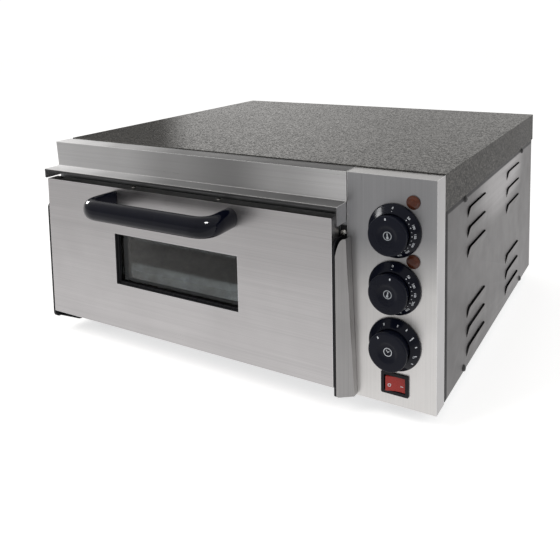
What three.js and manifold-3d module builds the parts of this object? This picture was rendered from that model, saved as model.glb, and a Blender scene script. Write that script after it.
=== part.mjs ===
// Single-deck electric bakery oven: sheet-metal case, door, controls and heating parts, in mm.
// Work frame: x from the case's left side (0) to its right (560), y from the control panel's face (0)
// towards the back, z up from the underside of the case. Pieces are shifted as they are placed, so that
// z = 0 is the underside of the feet and x = y = 0 is the middle of the footprint.
import * as THREE from 'three'
import { mergeVertices } from 'three/addons/utils/BufferGeometryUtils.js'
import { ConvexGeometry } from 'three/addons/geometries/ConvexGeometry.js'
import Module from 'manifold-3d'

const wasm = await Module()
wasm.setup()

// ---- driving dimensions ----
const CASE_W = 560
const CASE_D = 522 // control panel face to back
const CASE_H = 261.4 // without feet
const FOOT_H = 18
const SHEET = 1 // sheet thickness
const GAP = 0.3 // between touching pieces
const Y_MID = 233.3 // middle of the footprint, front to back
const mirror = x => CASE_W - x

// ---- faces and edges shared by several sheets ----
const COVER_UNDER = CASE_H - 1.2
const FRONT_TOP = COVER_UNDER - GAP // top of the hood and control panel
const SIDE_OUT = CASE_W - SHEET - GAP // outer face of the right side panel
const PAN_X1 = SIDE_OUT - SHEET - GAP
const PAN_X0 = mirror(PAN_X1)
const BACK_OUT = CASE_D - SHEET - GAP // outer face of the back panel
const REAR_Y = BACK_OUT - SHEET - GAP // rear end of the pan and side panels
const WALL_FOOT = 1.4
const WALL_TOP = 259.6
const FLANGE_Z = [16, 258.2] // height range of the upright flanges

// ---- places shared by several pieces ----
const DOOR = { x0: 0.5, x1: 448.3, z0: 15.2, z1: 211, front: -22.6, back: -2.7 }
const DOOR_SCREWS = { x: [16.5, 151, 289, 430.5], y: -10 }
const WINDOW = { x0: 124.5, x1: 322, z0: 78, z1: 148 }
const HINGE = { y: -13, z: 21, r: 3 }
const PLATE_SCREW = { x: 452.8, z: 190.3 }
const CHAMBER = { x0: 24, x1: 424, y0: 3.5, y1: 403, z0: 58, z1: 173 }
const RACK_TOP = 72 // ledges that carry the baking stone
const ELEMENT = { upper: 163, lower: 64, r: 3.6, y0: 70, y1: 340 }
const BULBS = [[120, 150], [120, 92]] // y, z where each capillary enters the chamber
const KNOB_X = 513
const KNOBS = [ // turn in degrees, clockwise seen from the front
  { tag: 'upper_heat', z: 200.5, turn: -5 },
  { tag: 'lower_heat', z: 136.5, turn: 11 },
  { tag: 'timer', z: 72.5, turn: -34 },
]
const LAMP_X = 534
const LAMP_Z = { upper: 233.8, lower: 169 }
const SWITCH = { x: 513.2, z: 26.5, w: 32, h: 25 }
const HANDLE = {
  middle: 220.5, inner: 177, out: 52.3, tall: 25.4, thick: 15, z: 193.9, bend: 27,
}
const HANDLE_X = [-1, 1].map(side => HANDLE.middle + side * (HANDLE.inner + HANDLE.thick) / 2)
const GLAND = { x: 505, z: 40 }
const FOOT_INSET = 50
const FEET = { // x, y
  front_left: [FOOT_INSET, FOOT_INSET],
  front_right: [mirror(FOOT_INSET), FOOT_INSET],
  rear_left: [FOOT_INSET, CASE_D - FOOT_INSET],
  rear_right: [mirror(FOOT_INSET), CASE_D - FOOT_INSET],
}
const SCREW_Y = { front: 110, rear: 437 }
const SCREW_Z = { low: 4.6, high: 214.3 }

// ---- solids ----
// a geometry as a closed solid; one whose faces point inwards is turned outwards
const toSolid = part => {
  if (!(part instanceof THREE.BufferGeometry)) return part
  const loose = part.index ? part.toNonIndexed() : part.clone()
  loose.deleteAttribute('normal')
  loose.deleteAttribute('uv')
  const merged = mergeVertices(loose, 1e-4)
  const { index, attributes: { position } } = merged
  const corner = i => new THREE.Vector3().fromBufferAttribute(position, index.getX(i))
  let volume = 0
  for (let i = 0; i < index.count; i += 3) {
    volume += corner(i).dot(corner(i + 1).cross(corner(i + 2)))
  }
  for (let i = 0; volume < 0 && i < index.count; i += 3) {
    const first = index.getX(i)
    index.setX(i, index.getX(i + 1))
    index.setX(i + 1, first)
  }
  return new wasm.Manifold(new wasm.Mesh({
    numProp: 3,
    vertProperties: new Float32Array(position.array),
    triVerts: new Uint32Array(index.array),
  }))
}
const toGeometry = solid => {
  const mesh = solid.asOriginal().simplify(0.002).getMesh()
  const indexed = new THREE.BufferGeometry()
  const points = new Float32Array(mesh.vertProperties)
  indexed.setAttribute('position', new THREE.BufferAttribute(points, 3))
  indexed.setIndex(new THREE.BufferAttribute(new Uint32Array(mesh.triVerts), 1))
  const flat = indexed.toNonIndexed()
  flat.computeVertexNormals()
  return flat
}
const join = (...parts) => parts.map(toSolid).reduce((sum, part) => sum.add(part))
const cut = (body, ...tools) => tools.map(toSolid).reduce((rest, t) => rest.subtract(t), toSolid(body))
const overlap = (a, b) => toSolid(a).intersect(toSolid(b))

// ---- shapes ----
const box = (x0, x1, y0, y1, z0, z1) => new THREE.BoxGeometry(x1 - x0, y1 - y0, z1 - z0)
  .translate((x0 + x1) / 2, (y0 + y1) / 2, (z0 + z1) / 2)
// box given by its middle in x and z
const block = (x, z, halfW, halfH, y0, y1) => box(x - halfW, x + halfW, y0, y1, z - halfH, z + halfH)
// box over an area's x and z ranges, widened all round
const slab = (area, grow, y0, y1) =>
  box(area.x0 - grow, area.x1 + grow, y0, y1, area.z0 - grow, area.z1 + grow)

// an outline extruded along an axis: 'x' outlines are [y, z], 'y' [x, z] and 'z' [x, y]
const prism = (axis, outline, from, to, curveSegments = 5) => {
  const shape = outline instanceof THREE.Shape
    ? outline : new THREE.Shape(outline.map(p => new THREE.Vector2(...p)))
  const matrix = new THREE.Matrix4()
  if (axis === 'x') matrix.set(0, 0, 1, from, 1, 0, 0, 0, 0, 1, 0, 0, 0, 0, 0, 1)
  if (axis === 'y') matrix.set(1, 0, 0, 0, 0, 0, -1, to, 0, 1, 0, 0, 0, 0, 0, 1)
  if (axis === 'z') matrix.makeTranslation(0, 0, from)
  const options = { depth: to - from, bevelEnabled: false, curveSegments }
  return new THREE.ExtrudeGeometry(shape, options).applyMatrix4(matrix)
}
// radius: one number, or [bottom-left, bottom-right, top-right, top-left]
const roundRect = (u0, u1, v0, v1, radius) => {
  const [bl, br, tr, tl] = Array.isArray(radius) ? radius : Array(4).fill(radius)
  const shape = new THREE.Shape()
  const corner = (u, v, r, quarter) => {
    if (r) shape.absarc(u, v, r, quarter * Math.PI / 2, (quarter + 1) * Math.PI / 2)
  }
  shape.moveTo(u0 + bl, v0)
  shape.lineTo(u1 - br, v0)
  corner(u1 - br, v0 + br, br, -1)
  shape.lineTo(u1, v1 - tr)
  corner(u1 - tr, v1 - tr, tr, 0)
  shape.lineTo(u0 + tl, v1)
  corner(u0 + tl, v1 - tl, tl, 1)
  shape.lineTo(u0, v0 + bl)
  corner(u0 + bl, v0 + bl, bl, 2)
  return shape
}
// cylinder along an axis; u, v place it on the other two axes, in x, y, z order
const rod = (axis, r, from, to, u, v, segments = 16) => {
  const cylinder = new THREE.CylinderGeometry(r, r, to - from, segments)
  const middle = (from + to) / 2
  if (axis === 'x') return cylinder.rotateZ(Math.PI / 2).translate(middle, u, v)
  if (axis === 'y') return cylinder.translate(u, middle, v)
  return cylinder.rotateX(Math.PI / 2).translate(u, v, middle)
}
// profiles are [radius, distance along the axis]
const lathe = (profile, segments) =>
  new THREE.LatheGeometry(profile.map(p => new THREE.Vector2(...p)), segments)
const turnY = (profile, x, z, segments) => lathe(profile, segments).translate(x, 0, z)
const turnZ = (profile, x, y, segments) =>
  lathe(profile, segments).rotateX(Math.PI / 2).translate(x, y, 0)
const hull = points => new ConvexGeometry(points.map(p => new THREE.Vector3(...p)))

const roundSection = (r, sides) => new THREE.Shape(Array.from({ length: sides }, (_, i) => {
  const angle = (i + 0.5) / sides * Math.PI * 2
  return new THREE.Vector2(r * Math.cos(angle), r * Math.sin(angle))
}))

// ExtrudeGeometry samples its path evenly; on this one the even samples are the given points
class Corners extends THREE.Curve {
  constructor(points) {
    super()
    this.points = points
    this.steps = points.length - 1
  }

  getPoint(t, out = new THREE.Vector3()) {
    const along = Math.min(Math.max(t, 0), 1) * this.steps
    const i = Math.min(Math.floor(along), this.steps - 1)
    return out.lerpVectors(this.points[i], this.points[i + 1], along - i)
  }

  getPointAt(t, out) {
    return this.getPoint(t, out)
  }

  getTangentAt(t, out = new THREE.Vector3()) {
    const i = Math.round(t * this.steps)
    const here = this.points[i]
    const before = here.clone().sub(this.points[Math.max(i - 1, 0)]).normalize()
    const after = this.points[Math.min(i + 1, this.steps)].clone().sub(here).normalize()
    return out.copy(before.add(after)).normalize()
  }
}
// a section swept along straight runs joined by bends; only the bends are subdivided
const sweep = (stations, bend, section, perBend) => {
  const knots = stations.map(p => new THREE.Vector3(...p))
  const points = [knots[0]]
  for (let i = 1; i < knots.length - 1; i++) {
    const [last, here, next] = knots.slice(i - 1, i + 2)
    const reach = Math.min(bend, here.distanceTo(last) / 2.01, here.distanceTo(next) / 2.01)
    const start = here.clone().add(last.clone().sub(here).setLength(reach))
    const end = here.clone().add(next.clone().sub(here).setLength(reach))
    const curve = new THREE.QuadraticBezierCurve3(start, here, end)
    points.push(start)
    for (let k = 1; k <= perBend; k++) points.push(curve.getPoint(k / perBend))
  }
  points.push(knots.at(-1))
  const extrudePath = new Corners(points.filter((p, i) => !i || p.distanceTo(points[i - 1]) > 0.05))
  const options = { steps: extrudePath.steps, bevelEnabled: false, extrudePath }
  return new THREE.ExtrudeGeometry(section, options)
}

// ---- materials: colour, roughness, metalness ----
const MATERIALS = {
  steel: [0xb9b8b5, 0.32, 1],
  steelDark: [0x8d8f90, 0.42, 0.9],
  cover: [0x5b5f60, 0.6, 0.6],
  black: [0x1b1b1d, 0.5, 0.1],
  gloss: [0x0d0e14, 0.18, 0],
  liner: [0x8a8782, 0.5, 0.9],
  stone: [0xb9a88c, 0.95, 0],
  element: [0x4a4542, 0.6, 0.7],
  wool: [0xd9d4c4, 1, 0],
  glass: [0x20242a, 0.06, 0],
  amber: [0x8a3a16, 0.3, 0],
  red: [0xb02e28, 0.35, 0],
  zinc: [0xc9cbcd, 0.3, 1],
  rubber: [0x17181a, 0.85, 0],
  ivory: [0xd8d2bf, 0.6, 0],
  brass: [0xb58a3c, 0.35, 1],
}
const group = new THREE.Group()
group.name = 'deck_oven'
const place = (name, part, finish) => {
  const geometry = toGeometry(toSolid(part)).translate(-CASE_W / 2, -Y_MID, FOOT_H)
  const [color, roughness, metalness] = MATERIALS[finish]
  const material = new THREE.MeshStandardMaterial({ color, roughness, metalness })
  const mesh = new THREE.Mesh(geometry, material)
  mesh.name = name
  group.add(mesh)
}

// ================= case =================
const sideScrewHole = (x, reach, y, z) => rod('x', 1.9, x - reach, x + reach, y, z, 10)

function basePan() {
  const front = 2.4
  const lip = 15
  const tray = join(
    box(PAN_X0, PAN_X1, front, REAR_Y, 0, SHEET),
    box(PAN_X0, PAN_X0 + SHEET, front, REAR_Y, 0, lip),
    box(PAN_X1 - SHEET, PAN_X1, 21.5, REAR_Y, 0, lip),
    box(PAN_X0, PAN_X1, REAR_Y - SHEET, REAR_Y, 0, lip),
    box(PAN_X0, 456, front, front + SHEET, 0, lip))
  const screwHoles = [3, 557].flatMap(x =>
    Object.values(SCREW_Y).map(y => sideScrewHole(x, 2, y, SCREW_Z.low)))
  return cut(tray, ...Object.values(FEET).map(([x, y]) => rod('z', 3.5, -1, 3, x, y, 12)),
    ...screwHoles)
}

const foot = (x, y) => turnZ([
  [0, -FOOT_H], [12.5, -FOOT_H], [13.5, -FOOT_H + 1.2], [16, -GAP - 1.5], [15.2, -GAP],
  [3, -GAP], [3, 6.5], [0, 6.5],
], x, y, 18)

// side panel with lanced louvres; side = 1 right, -1 left
function sidePanel(side) {
  const louvreY = [[123, 212], [334, 423]]
  const louvreTops = [200.2, 175.4, 150.4, 74.6, 50, 25.4]
  const louvreH = 12
  const out = SIDE_OUT
  const toSide = x => (side > 0 ? x : mirror(x))
  const span = (a, b) => [toSide(a), toSide(b)].sort((p, q) => p - q)
  const panel = join(
    box(...span(out - SHEET, out), 33.5, REAR_Y, 0, WALL_TOP),
    box(...span(546, out), 33.5, 34.5, ...FLANGE_Z),
    box(...span(546, out), 41, REAR_Y, WALL_TOP - SHEET, WALL_TOP))
  const holes = []
  const flaps = []
  for (const [y0, y1] of louvreY) {
    for (const top of louvreTops) {
      const low = top - louvreH
      const opening = roundRect(y0 - 0.7, y1 + 0.7, low + 0.4, top + 0.6, [0, 0, 9, 9])
      holes.push(prism('x', opening, ...span(out - 2, out + 1), 3))
      const face = roundRect(y0, y1, low - 0.8, top, [0, 0, 8.5, 8.5])
      // x, z of the flap, which leans out from its lower edge
      const profile = [
        [out - SHEET, low - 0.8], [out, low - 0.8], [out + 3.4, low + 5], [out + 5.2, top],
        [out + 4.2, top], [out + 2.4, low + 5.4], [out - SHEET, low + 1.2],
      ].map(([x, z]) => [toSide(x), z])
      flaps.push(overlap(prism('x', face, ...span(out - 3, out + 8), 3),
        prism('y', profile, y0 - 1, y1 + 1)))
    }
  }
  for (const y of Object.values(SCREW_Y)) {
    for (const z of Object.values(SCREW_Z)) holes.push(sideScrewHole(toSide(out), 3, y, z))
  }
  return join(cut(panel, ...holes), ...flaps)
}

// back panel with vent slots and the cable outlet
function backPanel() {
  const slot = (x, z0, z1) => prism('y', roundRect(x, x + 4, z0, z1, 1.4), 518, 523, 1)
  const slots = []
  for (let i = 0; i < 7; i++) {
    for (const z of [196, 224]) slots.push(slot(472 + i * 11, z - 10, z + 10))
  }
  for (let i = 0; i < 10; i++) slots.push(slot(130 + i * 20, 212, 238))
  const sheet = join(
    box(PAN_X0, PAN_X1, BACK_OUT - SHEET, BACK_OUT, WALL_FOOT, WALL_TOP),
    box(3.9, 4.9, 505, BACK_OUT, ...FLANGE_Z),
    box(mirror(4.9), mirror(3.9), 505, BACK_OUT, ...FLANGE_Z))
  return cut(sheet, ...slots, rod('y', 7.6, 518, 523, GLAND.x, GLAND.z, 20))
}

function topCover() {
  const front = 27.8
  const side = 0.9 // thickness of the side flanges
  const sideLow = CASE_H - 42
  return join(
    box(0, CASE_W, front, CASE_D, COVER_UNDER, CASE_H),
    box(0, side, front, CASE_D, sideLow, CASE_H),
    box(CASE_W - side, CASE_W, front, CASE_D, sideLow, CASE_H),
    box(0, CASE_W, CASE_D - SHEET, CASE_D, CASE_H - 24, CASE_H))
}

// top flange, upright strip, forward shelf with a turned-down front edge, and an end tab each side;
// the left end flares out towards the top and is closed by a return back to the cover
function frontHood() {
  const left = -0.9
  const right = 456.3
  const flare = left - 3
  const top = FRONT_TOP
  const shelf = 225.4
  const bend = shelf + 2.4 // where the upright strip starts
  const front = -26
  const profile = [ // y, z
    [40, top - SHEET], [40, top], [0.9, top], [0.25, top - 0.25], [0, top - 0.9],
    [0, bend], [-0.7, shelf + 0.7], [-2.4, shelf],
    [front + 0.8, shelf], [front, shelf - 0.8], [front, shelf - 2.8],
    [front + SHEET, shelf - 2.8], [front + SHEET, shelf - SHEET],
    [-2, shelf - SHEET], [0.2, shelf - 0.2], [SHEET, shelf + 2], [SHEET, top - SHEET],
  ]
  const tab = (x, low) => prism('x',
    roundRect(front + 0.2, -0.4, low, shelf - 0.2, [2.5, 0.5, 0, 0]), x, x + SHEET)
  const outsideFlare = prism('y', [
    [left - 9, 190], [left, 190], [left, bend], [flare, top + 0.01], [left - 9, top + 0.01],
  ], -40, 60)
  const leftReturn = prism('y', [
    [left, 212], [left + SHEET, 212], [left + SHEET, bend], [flare + SHEET, top], [flare, top],
    [left, bend],
  ], 0.3, 27.1)
  const hood = join(cut(prism('x', profile, flare, right), outsideFlare), leftReturn,
    box(left, left + SHEET, -1, 0.8, 212.2, shelf - 0.4),
    tab(left, 212), tab(right - SHEET, 203.5))
  return cut(hood, box(-5, 2.7, 27.2, 45, 250, 265)) // clears the cover's left flange
}

// shallow tray with flanges on all four sides
function controlPanel() {
  const left = 457
  const low = 1
  const top = FRONT_TOP
  const tray = join(
    prism('y', roundRect(left, CASE_W, low, top, 0.6), 0, SHEET, 2),
    box(left, left + SHEET, 0.5, 20, low, top),
    box(CASE_W - SHEET, CASE_W, 0.5, 27.3, low, top),
    box(left, CASE_W, 0.5, 20, low, low + SHEET),
    box(left, CASE_W, 0.5, 27.3, top - SHEET, top),
    box(left + 1, 557, 20, 40, top - SHEET, top))
  return cut(tray,
    ...KNOBS.map(({ z }) => rod('y', 5.2, -2, 3, KNOB_X, z, 20)),
    ...Object.values(LAMP_Z).map(z => rod('y', 6.5, -2, 3, LAMP_X, z, 20)),
    block(SWITCH.x, SWITCH.z, 14.1, 10.5, -2, 3))
}

const plateScrewHole = (y0, y1) => rod('y', 2.1, y0, y1, PLATE_SCREW.x, PLATE_SCREW.z, 12)
const frontFrame = () => cut(
  join(box(1, 455.9, 0.8, 2, WALL_FOOT, 223.6), box(1, 2.2, 0.8, 31, WALL_FOOT, 223.6)),
  slab(CHAMBER, 0, -1, 4), plateScrewHole(-1, 4))

// hinge plates: a web beside the door's edge and a flange against the front frame; the left one
// also has a short foot turned under the door
const hingeHole = (x, clearance) =>
  rod('x', HINGE.r + clearance, x - 3, x + 3, HINGE.y, HINGE.z, 16)
const hingePlateLeft = () => cut(join(
  prism('x', roundRect(-22, -0.4, 4, 176, [8, 0.5, 0.5, 9]), -3.6, 0.1),
  box(-3.6, 12, -0.7, 0.4, 45, 170),
  prism('z', [[-3.6, -13.2], [33.5, -9], [35.5, -7], [35.5, -0.4], [-3.6, -0.4]], 4, 5.3),
), hingeHole(-1, 0.3))
const hingePlateRight = () => cut(join(
  prism('x', roundRect(-22, -0.4, 4, 186, [3, 0.5, 0.5, 9]), 448.9, 450.9),
  box(449.2, 456.5, -0.7, 0.4, 45, 198),
), hingeHole(450, 0.3), plateScrewHole(-3, 3))
const hingePin = (x0, x1) => rod('x', HINGE.r, x0, x1, HINGE.y, HINGE.z, 20)

// guard over the right hinge, narrower towards the top
function hingeGuard() {
  const left = 451.3
  const leftY = -21.4
  const low = { x: 468, y: -9, z: 3.4 } // right edge at the bottom
  const top = { x: 461.3, z: 187 } // right edge at the top, on the same slanted face
  top.y = leftY + (top.x - left) / (low.x - left) * (low.y - leftY)
  const plateAt = ({ x, y, z }) =>
    [[left, leftY, z], [x, y, z], [x, y + SHEET, z], [left, leftY + SHEET, z]]
  const flangeAt = ({ x, y, z }) =>
    [[x - SHEET, y, z], [x, y, z], [x, -GAP, z], [x - SHEET, -GAP, z]]
  const outline = new THREE.Shape()
  outline.moveTo(left - 1, low.z + 4)
  outline.quadraticCurveTo(left - 0.2, low.z, left + 3.5, low.z)
  outline.lineTo(low.x + 2, low.z)
  outline.lineTo(low.x + 2, top.z)
  outline.lineTo(left + 7, top.z)
  outline.quadraticCurveTo(left + 2, top.z - 2, left - 1, top.z - 26)
  outline.closePath()
  const guard = join(
    hull([...plateAt(low), ...plateAt(top)]), hull([...flangeAt(low), ...flangeAt(top)]))
  return overlap(guard, prism('y', outline, -24, 2, 6))
}

// cross-head screw, head to the front
function hingePlateScrew() {
  const { x, z } = PLATE_SCREW
  const profile = [
    [0, -3.3], [2, -3.2], [3.4, -2.4], [3.8, -1.2], [3.8, -0.9], [1.7, -0.9], [1.7, 3.6], [0, 3.6],
  ]
  return cut(turnY(profile, x, z, 20),
    block(x, z, 2.2, 0.55, -4.3, -2.2), block(x, z, 0.55, 2.2, -4.3, -2.2))
}

// pan-head screw, head outside the panel; side = 1 right, -1 left
const sideScrew = (side, y, z) => lathe([
  [0, -7.5], [1.6, -7.5], [1.6, 0], [4.1, 0], [3.6, 1.3], [2.2, 2.1], [0, 2.3],
], 16).rotateZ(-Math.PI / 2 * side).translate(side > 0 ? 559 : 1, y, z)

// ================= inside =================
// holes for the element ends and capillaries in the walls right of the chamber
const wallHoles = ({ elementR, bulbR = 2.2, segments = 14, x0, x1 }) => [
  ...[ELEMENT.upper, ELEMENT.lower].flatMap(z =>
    [ELEMENT.y0, ELEMENT.y1].map(y => rod('x', elementR, x0, x1, y, z, segments))),
  ...BULBS.map(([y, z]) => rod('x', bulbR, x0, x1, y, z, 10)),
]

function chamberLiner() {
  const { x0, x1, y0, y1 } = CHAMBER
  const shell = cut(slab(CHAMBER, SHEET, y0, y1 + SHEET), slab(CHAMBER, 0, y0 - 5, y1))
  const ledge = (from, to) => box(from, to, 10, y1 + 0.5, RACK_TOP - SHEET, RACK_TOP)
  return cut(join(shell, ledge(x0 - 0.5, x0 + 7), ledge(x1 - 7, x1 + 0.5)),
    ...wallHoles({ elementR: 4.4, x0: x1 - 2, x1: x1 + 3 }))
}

const bakingStone = () => prism('z',
  roundRect(CHAMBER.x0 + 2, CHAMBER.x1 - 2, 14, CHAMBER.y1 - 3, 6),
  RACK_TOP + GAP, RACK_TOP + GAP + 12, 3)

// three-bend-pair serpentine with both ends out through the right wall
function heatingElement(z) {
  const { y0, y1, r } = ELEMENT
  const left = 66
  const right = 376
  const end = 474
  const step = (y1 - y0) / 3
  return sweep([
    [end, y0, z], [left, y0, z], [left, y0 + step, z], [right, y0 + step, z],
    [right, y0 + 2 * step, z], [left, y0 + 2 * step, z], [left, y1, z], [end, y1, z],
  ], 26, roundSection(r, 8), 4)
}

const CLEAR = SHEET + 0.6 // chamber to insulation
const wool = (z0, z1) => box(15, 451.5, 6, 504, z0, z1)
const insulationUpper = () => cut(wool(56.8, 256),
  box(CHAMBER.x0 - CLEAR, CHAMBER.x1 + CLEAR, 0, CHAMBER.y1 + CLEAR, 50, CHAMBER.z1 + CLEAR),
  ...wallHoles({ elementR: 6, bulbR: 3, segments: 12, x0: 420, x1: 460 }))

const compartmentDivider = () => cut(
  join(box(452.2, 453.2, 4, 518, WALL_FOOT, 257), box(453, 462, 505, 506, WALL_FOOT, 257)),
  ...wallHoles({ elementR: 5.2, x0: 450, x1: 456 }))

// neck through the panel, case and two blades, bored for the knob's shaft
function controlBody(z, { halfW, halfH, back, bladeRise, bladeEnd, boreEnd }) {
  const blades = [-1, 1].map(side =>
    block(KNOB_X + side * 11, z + side * bladeRise, 3, 0.6, back - 1, bladeEnd))
  return cut(join(rod('y', 4.7, -1.6, 9, KNOB_X, z, 20),
    block(KNOB_X, z, halfW, halfH, 8, back), ...blades), rod('y', 3.3, -4, boreEnd, KNOB_X, z, 20))
}
const thermostat = z => join(
  controlBody(z, { halfW: 21, halfH: 16, back: 34, bladeRise: 0, bladeEnd: 48, boreEnd: 20 }),
  rod('y', 13, 33, 40, KNOB_X, z, 20))
const timerBody = () => controlBody(KNOBS[2].z,
  { halfW: 23, halfH: 19, back: 42, bladeRise: 5.4, bladeEnd: 50, boreEnd: 22 })

// capillary tube from behind the thermostat into the chamber, ending in the sensing bulb
function thermostatBulb([y, z], knobZ) {
  const x = 416
  const tube = sweep([
    [KNOB_X, 40.4, knobZ], [KNOB_X, 66, knobZ], [KNOB_X - 30, y - 20, (z + knobZ) / 2],
    [470, y, z], [x, y, z], [x, y + 20, z],
  ], 14, roundSection(0.9, 6), 3)
  return join(tube, rod('y', 3, y + 18, y + 98, x, z, 12))
}

const terminalBlock = () => cut(
  join(box(470, 530, 480, 504, WALL_FOOT, 14), box(470, 530, 485, 499, 13, 24)),
  ...[0, 1, 2, 3].map(i => rod('z', 2.6, 19, 26, 478.5 + i * 14, 492, 10)))
const cableGland = () => cut(turnY([
  [0, 516.5], [7.2, 516.5], [7.2, 521.3], [11, 521.3], [11, 525], [8.5, 526], [7.2, 530.5],
  [0, 530.5],
], GLAND.x, GLAND.z, 20), rod('y', 3.9, 510, 540, GLAND.x, GLAND.z, 16))
const powerCord = () => sweep([
  [GLAND.x, 488, GLAND.z], [GLAND.x, 546, GLAND.z], [GLAND.x, 546, -17],
], 15, roundSection(3.4, 12), 6)

// ================= door =================
const doorScrewHoles = top => DOOR_SCREWS.x.map(x => rod('z', 1.9, 206, top, x, DOOR_SCREWS.y, 10))

function doorSkin() {
  const { x0, x1, z0, z1, front } = DOOR
  const edge = [front + 0.5, -4.2] // y range of the four edges
  const skin = join(
    prism('y', roundRect(x0, x1, z0, z1, 0.8), front, front + SHEET, 2),
    box(x0, x0 + SHEET, ...edge, z0 + 0.4, z1 - 0.4),
    box(x1 - SHEET, x1, ...edge, z0 + 0.4, z1 - 0.4),
    box(x0 + 0.4, x1 - 0.4, ...edge, z0, z0 + SHEET),
    box(x0 + 0.4, x1 - 0.4, ...edge, z1 - SHEET, z1))
  return cut(skin, slab(WINDOW, 0, -30, -20), hingeHole(x0, 0.4), hingeHole(x1, 0.4),
    ...HANDLE_X.map(x => rod('y', 2.5, -30, -18, x, HANDLE.z, 12)), ...doorScrewHoles(214))
}

function doorInnerPanel() {
  const { x0, x1, z0, z1, back } = DOOR
  const sight = { x0: 134, x1: 312.5, z0: 79.5, z1: 146.5 }
  const panel = join(
    box(x0 + 0.5, x1 - 0.5, back - 1.2, back, z0 + 0.5, z1 - 0.5),
    box(x0 + 2.5, x1 - 2.5, -18, -3.3, 208.6, 209.7),
    box(x0 + 2.5, x1 - 2.5, -18, -3.3, 16.5, 17.5))
  return cut(panel, slab(sight, 0, -6, 0), ...doorScrewHoles(211))
}

const windowTrim = () => cut(slab(WINDOW, 8, DOOR.front + SHEET + GAP, -14.5),
  slab(WINDOW, -0.8, -30, -18.2), slab(WINDOW, -2.5, -30, 0))
const doorGlass = () => prism('y',
  roundRect(WINDOW.x0 - 4, WINDOW.x1 + 4, WINDOW.z0 - 4, WINDOW.z1 + 4, 3), -14.2, -10.2, 2)

// rounded D section swept through two bends; section points are [up, towards the inner face]
function doorHandle() {
  const { tall, thick, out, z, bend } = HANDLE
  const arcSteps = 14
  const section = []
  for (let i = 0; i <= arcSteps; i++) {
    const angle = -Math.PI / 2 + Math.PI * i / arcSteps
    const bulge = (thick - 2.2) * Math.pow(Math.max(Math.cos(angle), 0), 0.75)
    section.push([tall / 2 * Math.sin(angle), thick / 2 - 2.2 - bulge])
  }
  section.push([tall / 2 - 3.2, thick / 2], [-tall / 2 + 3.2, thick / 2])
  const shape = new THREE.Shape(section.map(p => new THREE.Vector2(...p)))
  shape.closePath()
  const root = DOOR.front - GAP
  const grip = root - out
  const [left, right] = HANDLE_X
  const bar = sweep(
    [[left, root, z], [left - 3, grip, z], [right + 3, grip, z], [right, root, z]], bend, shape, 7)
  return cut(bar, box(left - 40, right + 40, root, root + 20, 150, 240),
    ...HANDLE_X.map(x => rod('y', 2.4, root - 16, root + 5, x, z, 12)))
}

const handleScrew = x => cut(turnY([
  [0, -36], [2, -36], [2, -21.3], [4, -21.3], [4, -20], [2.6, -18.6], [0, -18.4],
], x, HANDLE.z, 16), block(x, HANDLE.z, 2, 0.5, -19.4, -17))
const doorTopScrew = x => turnZ([
  [0, 203], [1.6, 203], [1.6, 211.3], [3.2, 211.3], [3, 212.2], [1.8, 213], [0, 213.1],
], x, DOOR_SCREWS.y, 14)

// ================= controls =================
// fixed dial: short rim, then a cone hollowed in the middle to take the knob
const dial = z => turnY([
  [6.2, -GAP], [29.5, -GAP], [30, -0.8], [30, -2.3], [29.1, -3.5], [22.3, -10.3], [21.5, -10.8],
  [20.7, -10.8], [20.3, -10.3], [20.3, -3.2], [6.2, -3.2], [6.2, -GAP],
], KNOB_X, z, 36)

// waisted grip that widens to the front, dished centre, shaft behind, and a pip near the rim
function knob({ z, turn }) {
  const r = 22
  const front = -24
  const pipReach = 18.3
  const cap = turnY([
    [0, front + 2.2], [7, front + 2.1], [8.6, front + 1.7], [10.6, front + 0.5], [11.8, front],
    [r - 1.6, front], [r - 0.5, front + 0.5], [r, front + 1.6], [r, front + 3],
    [20.3, -16], [19.5, -11], [19.3, -5.4], [18.6, -4.6], [3, -4.6], [3, 11], [0, 11],
  ], KNOB_X, z, 32)
  const angle = THREE.MathUtils.degToRad(turn)
  return join(cap, rod('y', 0.9, front - 0.35, front + 0.5,
    KNOB_X + Math.sin(angle) * pipReach, z + Math.cos(angle) * pipReach, 8))
}

const pilotLamp = z => join(
  turnY([
    [0, -4.5], [4, -4.2], [6.6, -3.2], [7.6, -1.6], [7.6, -GAP], [5.9, -GAP], [5.6, 26], [0, 26],
  ], LAMP_X, z, 24),
  ...[-3.1, 3.1].map(dx => block(LAMP_X + dx, z, 0.3, 2, 25, 33)))

function switchHousing() {
  const { x, z, w, h } = SWITCH
  const rim = prism('y',
    roundRect(x - w / 2, x + w / 2, z - h / 2, z + h / 2, 1.6), -2.2, -GAP, 3)
  return cut(join(rim, block(x, z, 13.7, 10.1, -1, 20),
    ...[-8, 0, 8].map(dx => block(x + dx, z, 0.4, 2.4, 19, 28))), block(x, z, 12.2, 8.9, -5, 12))
}

// shallow V face, tilted 10 degrees so that the left end stands forward
const switchRocker = () => prism('z', [
  [-11, -5.9], [-5.5, -4.6], [0, -4.1], [5.5, -4.6], [11, -5.9], [10.2, -1], [6.5, 4.2],
  [-6.5, 4.2], [-10.2, -1],
], SWITCH.z - 8.4, SWITCH.z + 8.4).rotateZ(THREE.MathUtils.degToRad(10)).translate(SWITCH.x, 3, 0)

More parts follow.
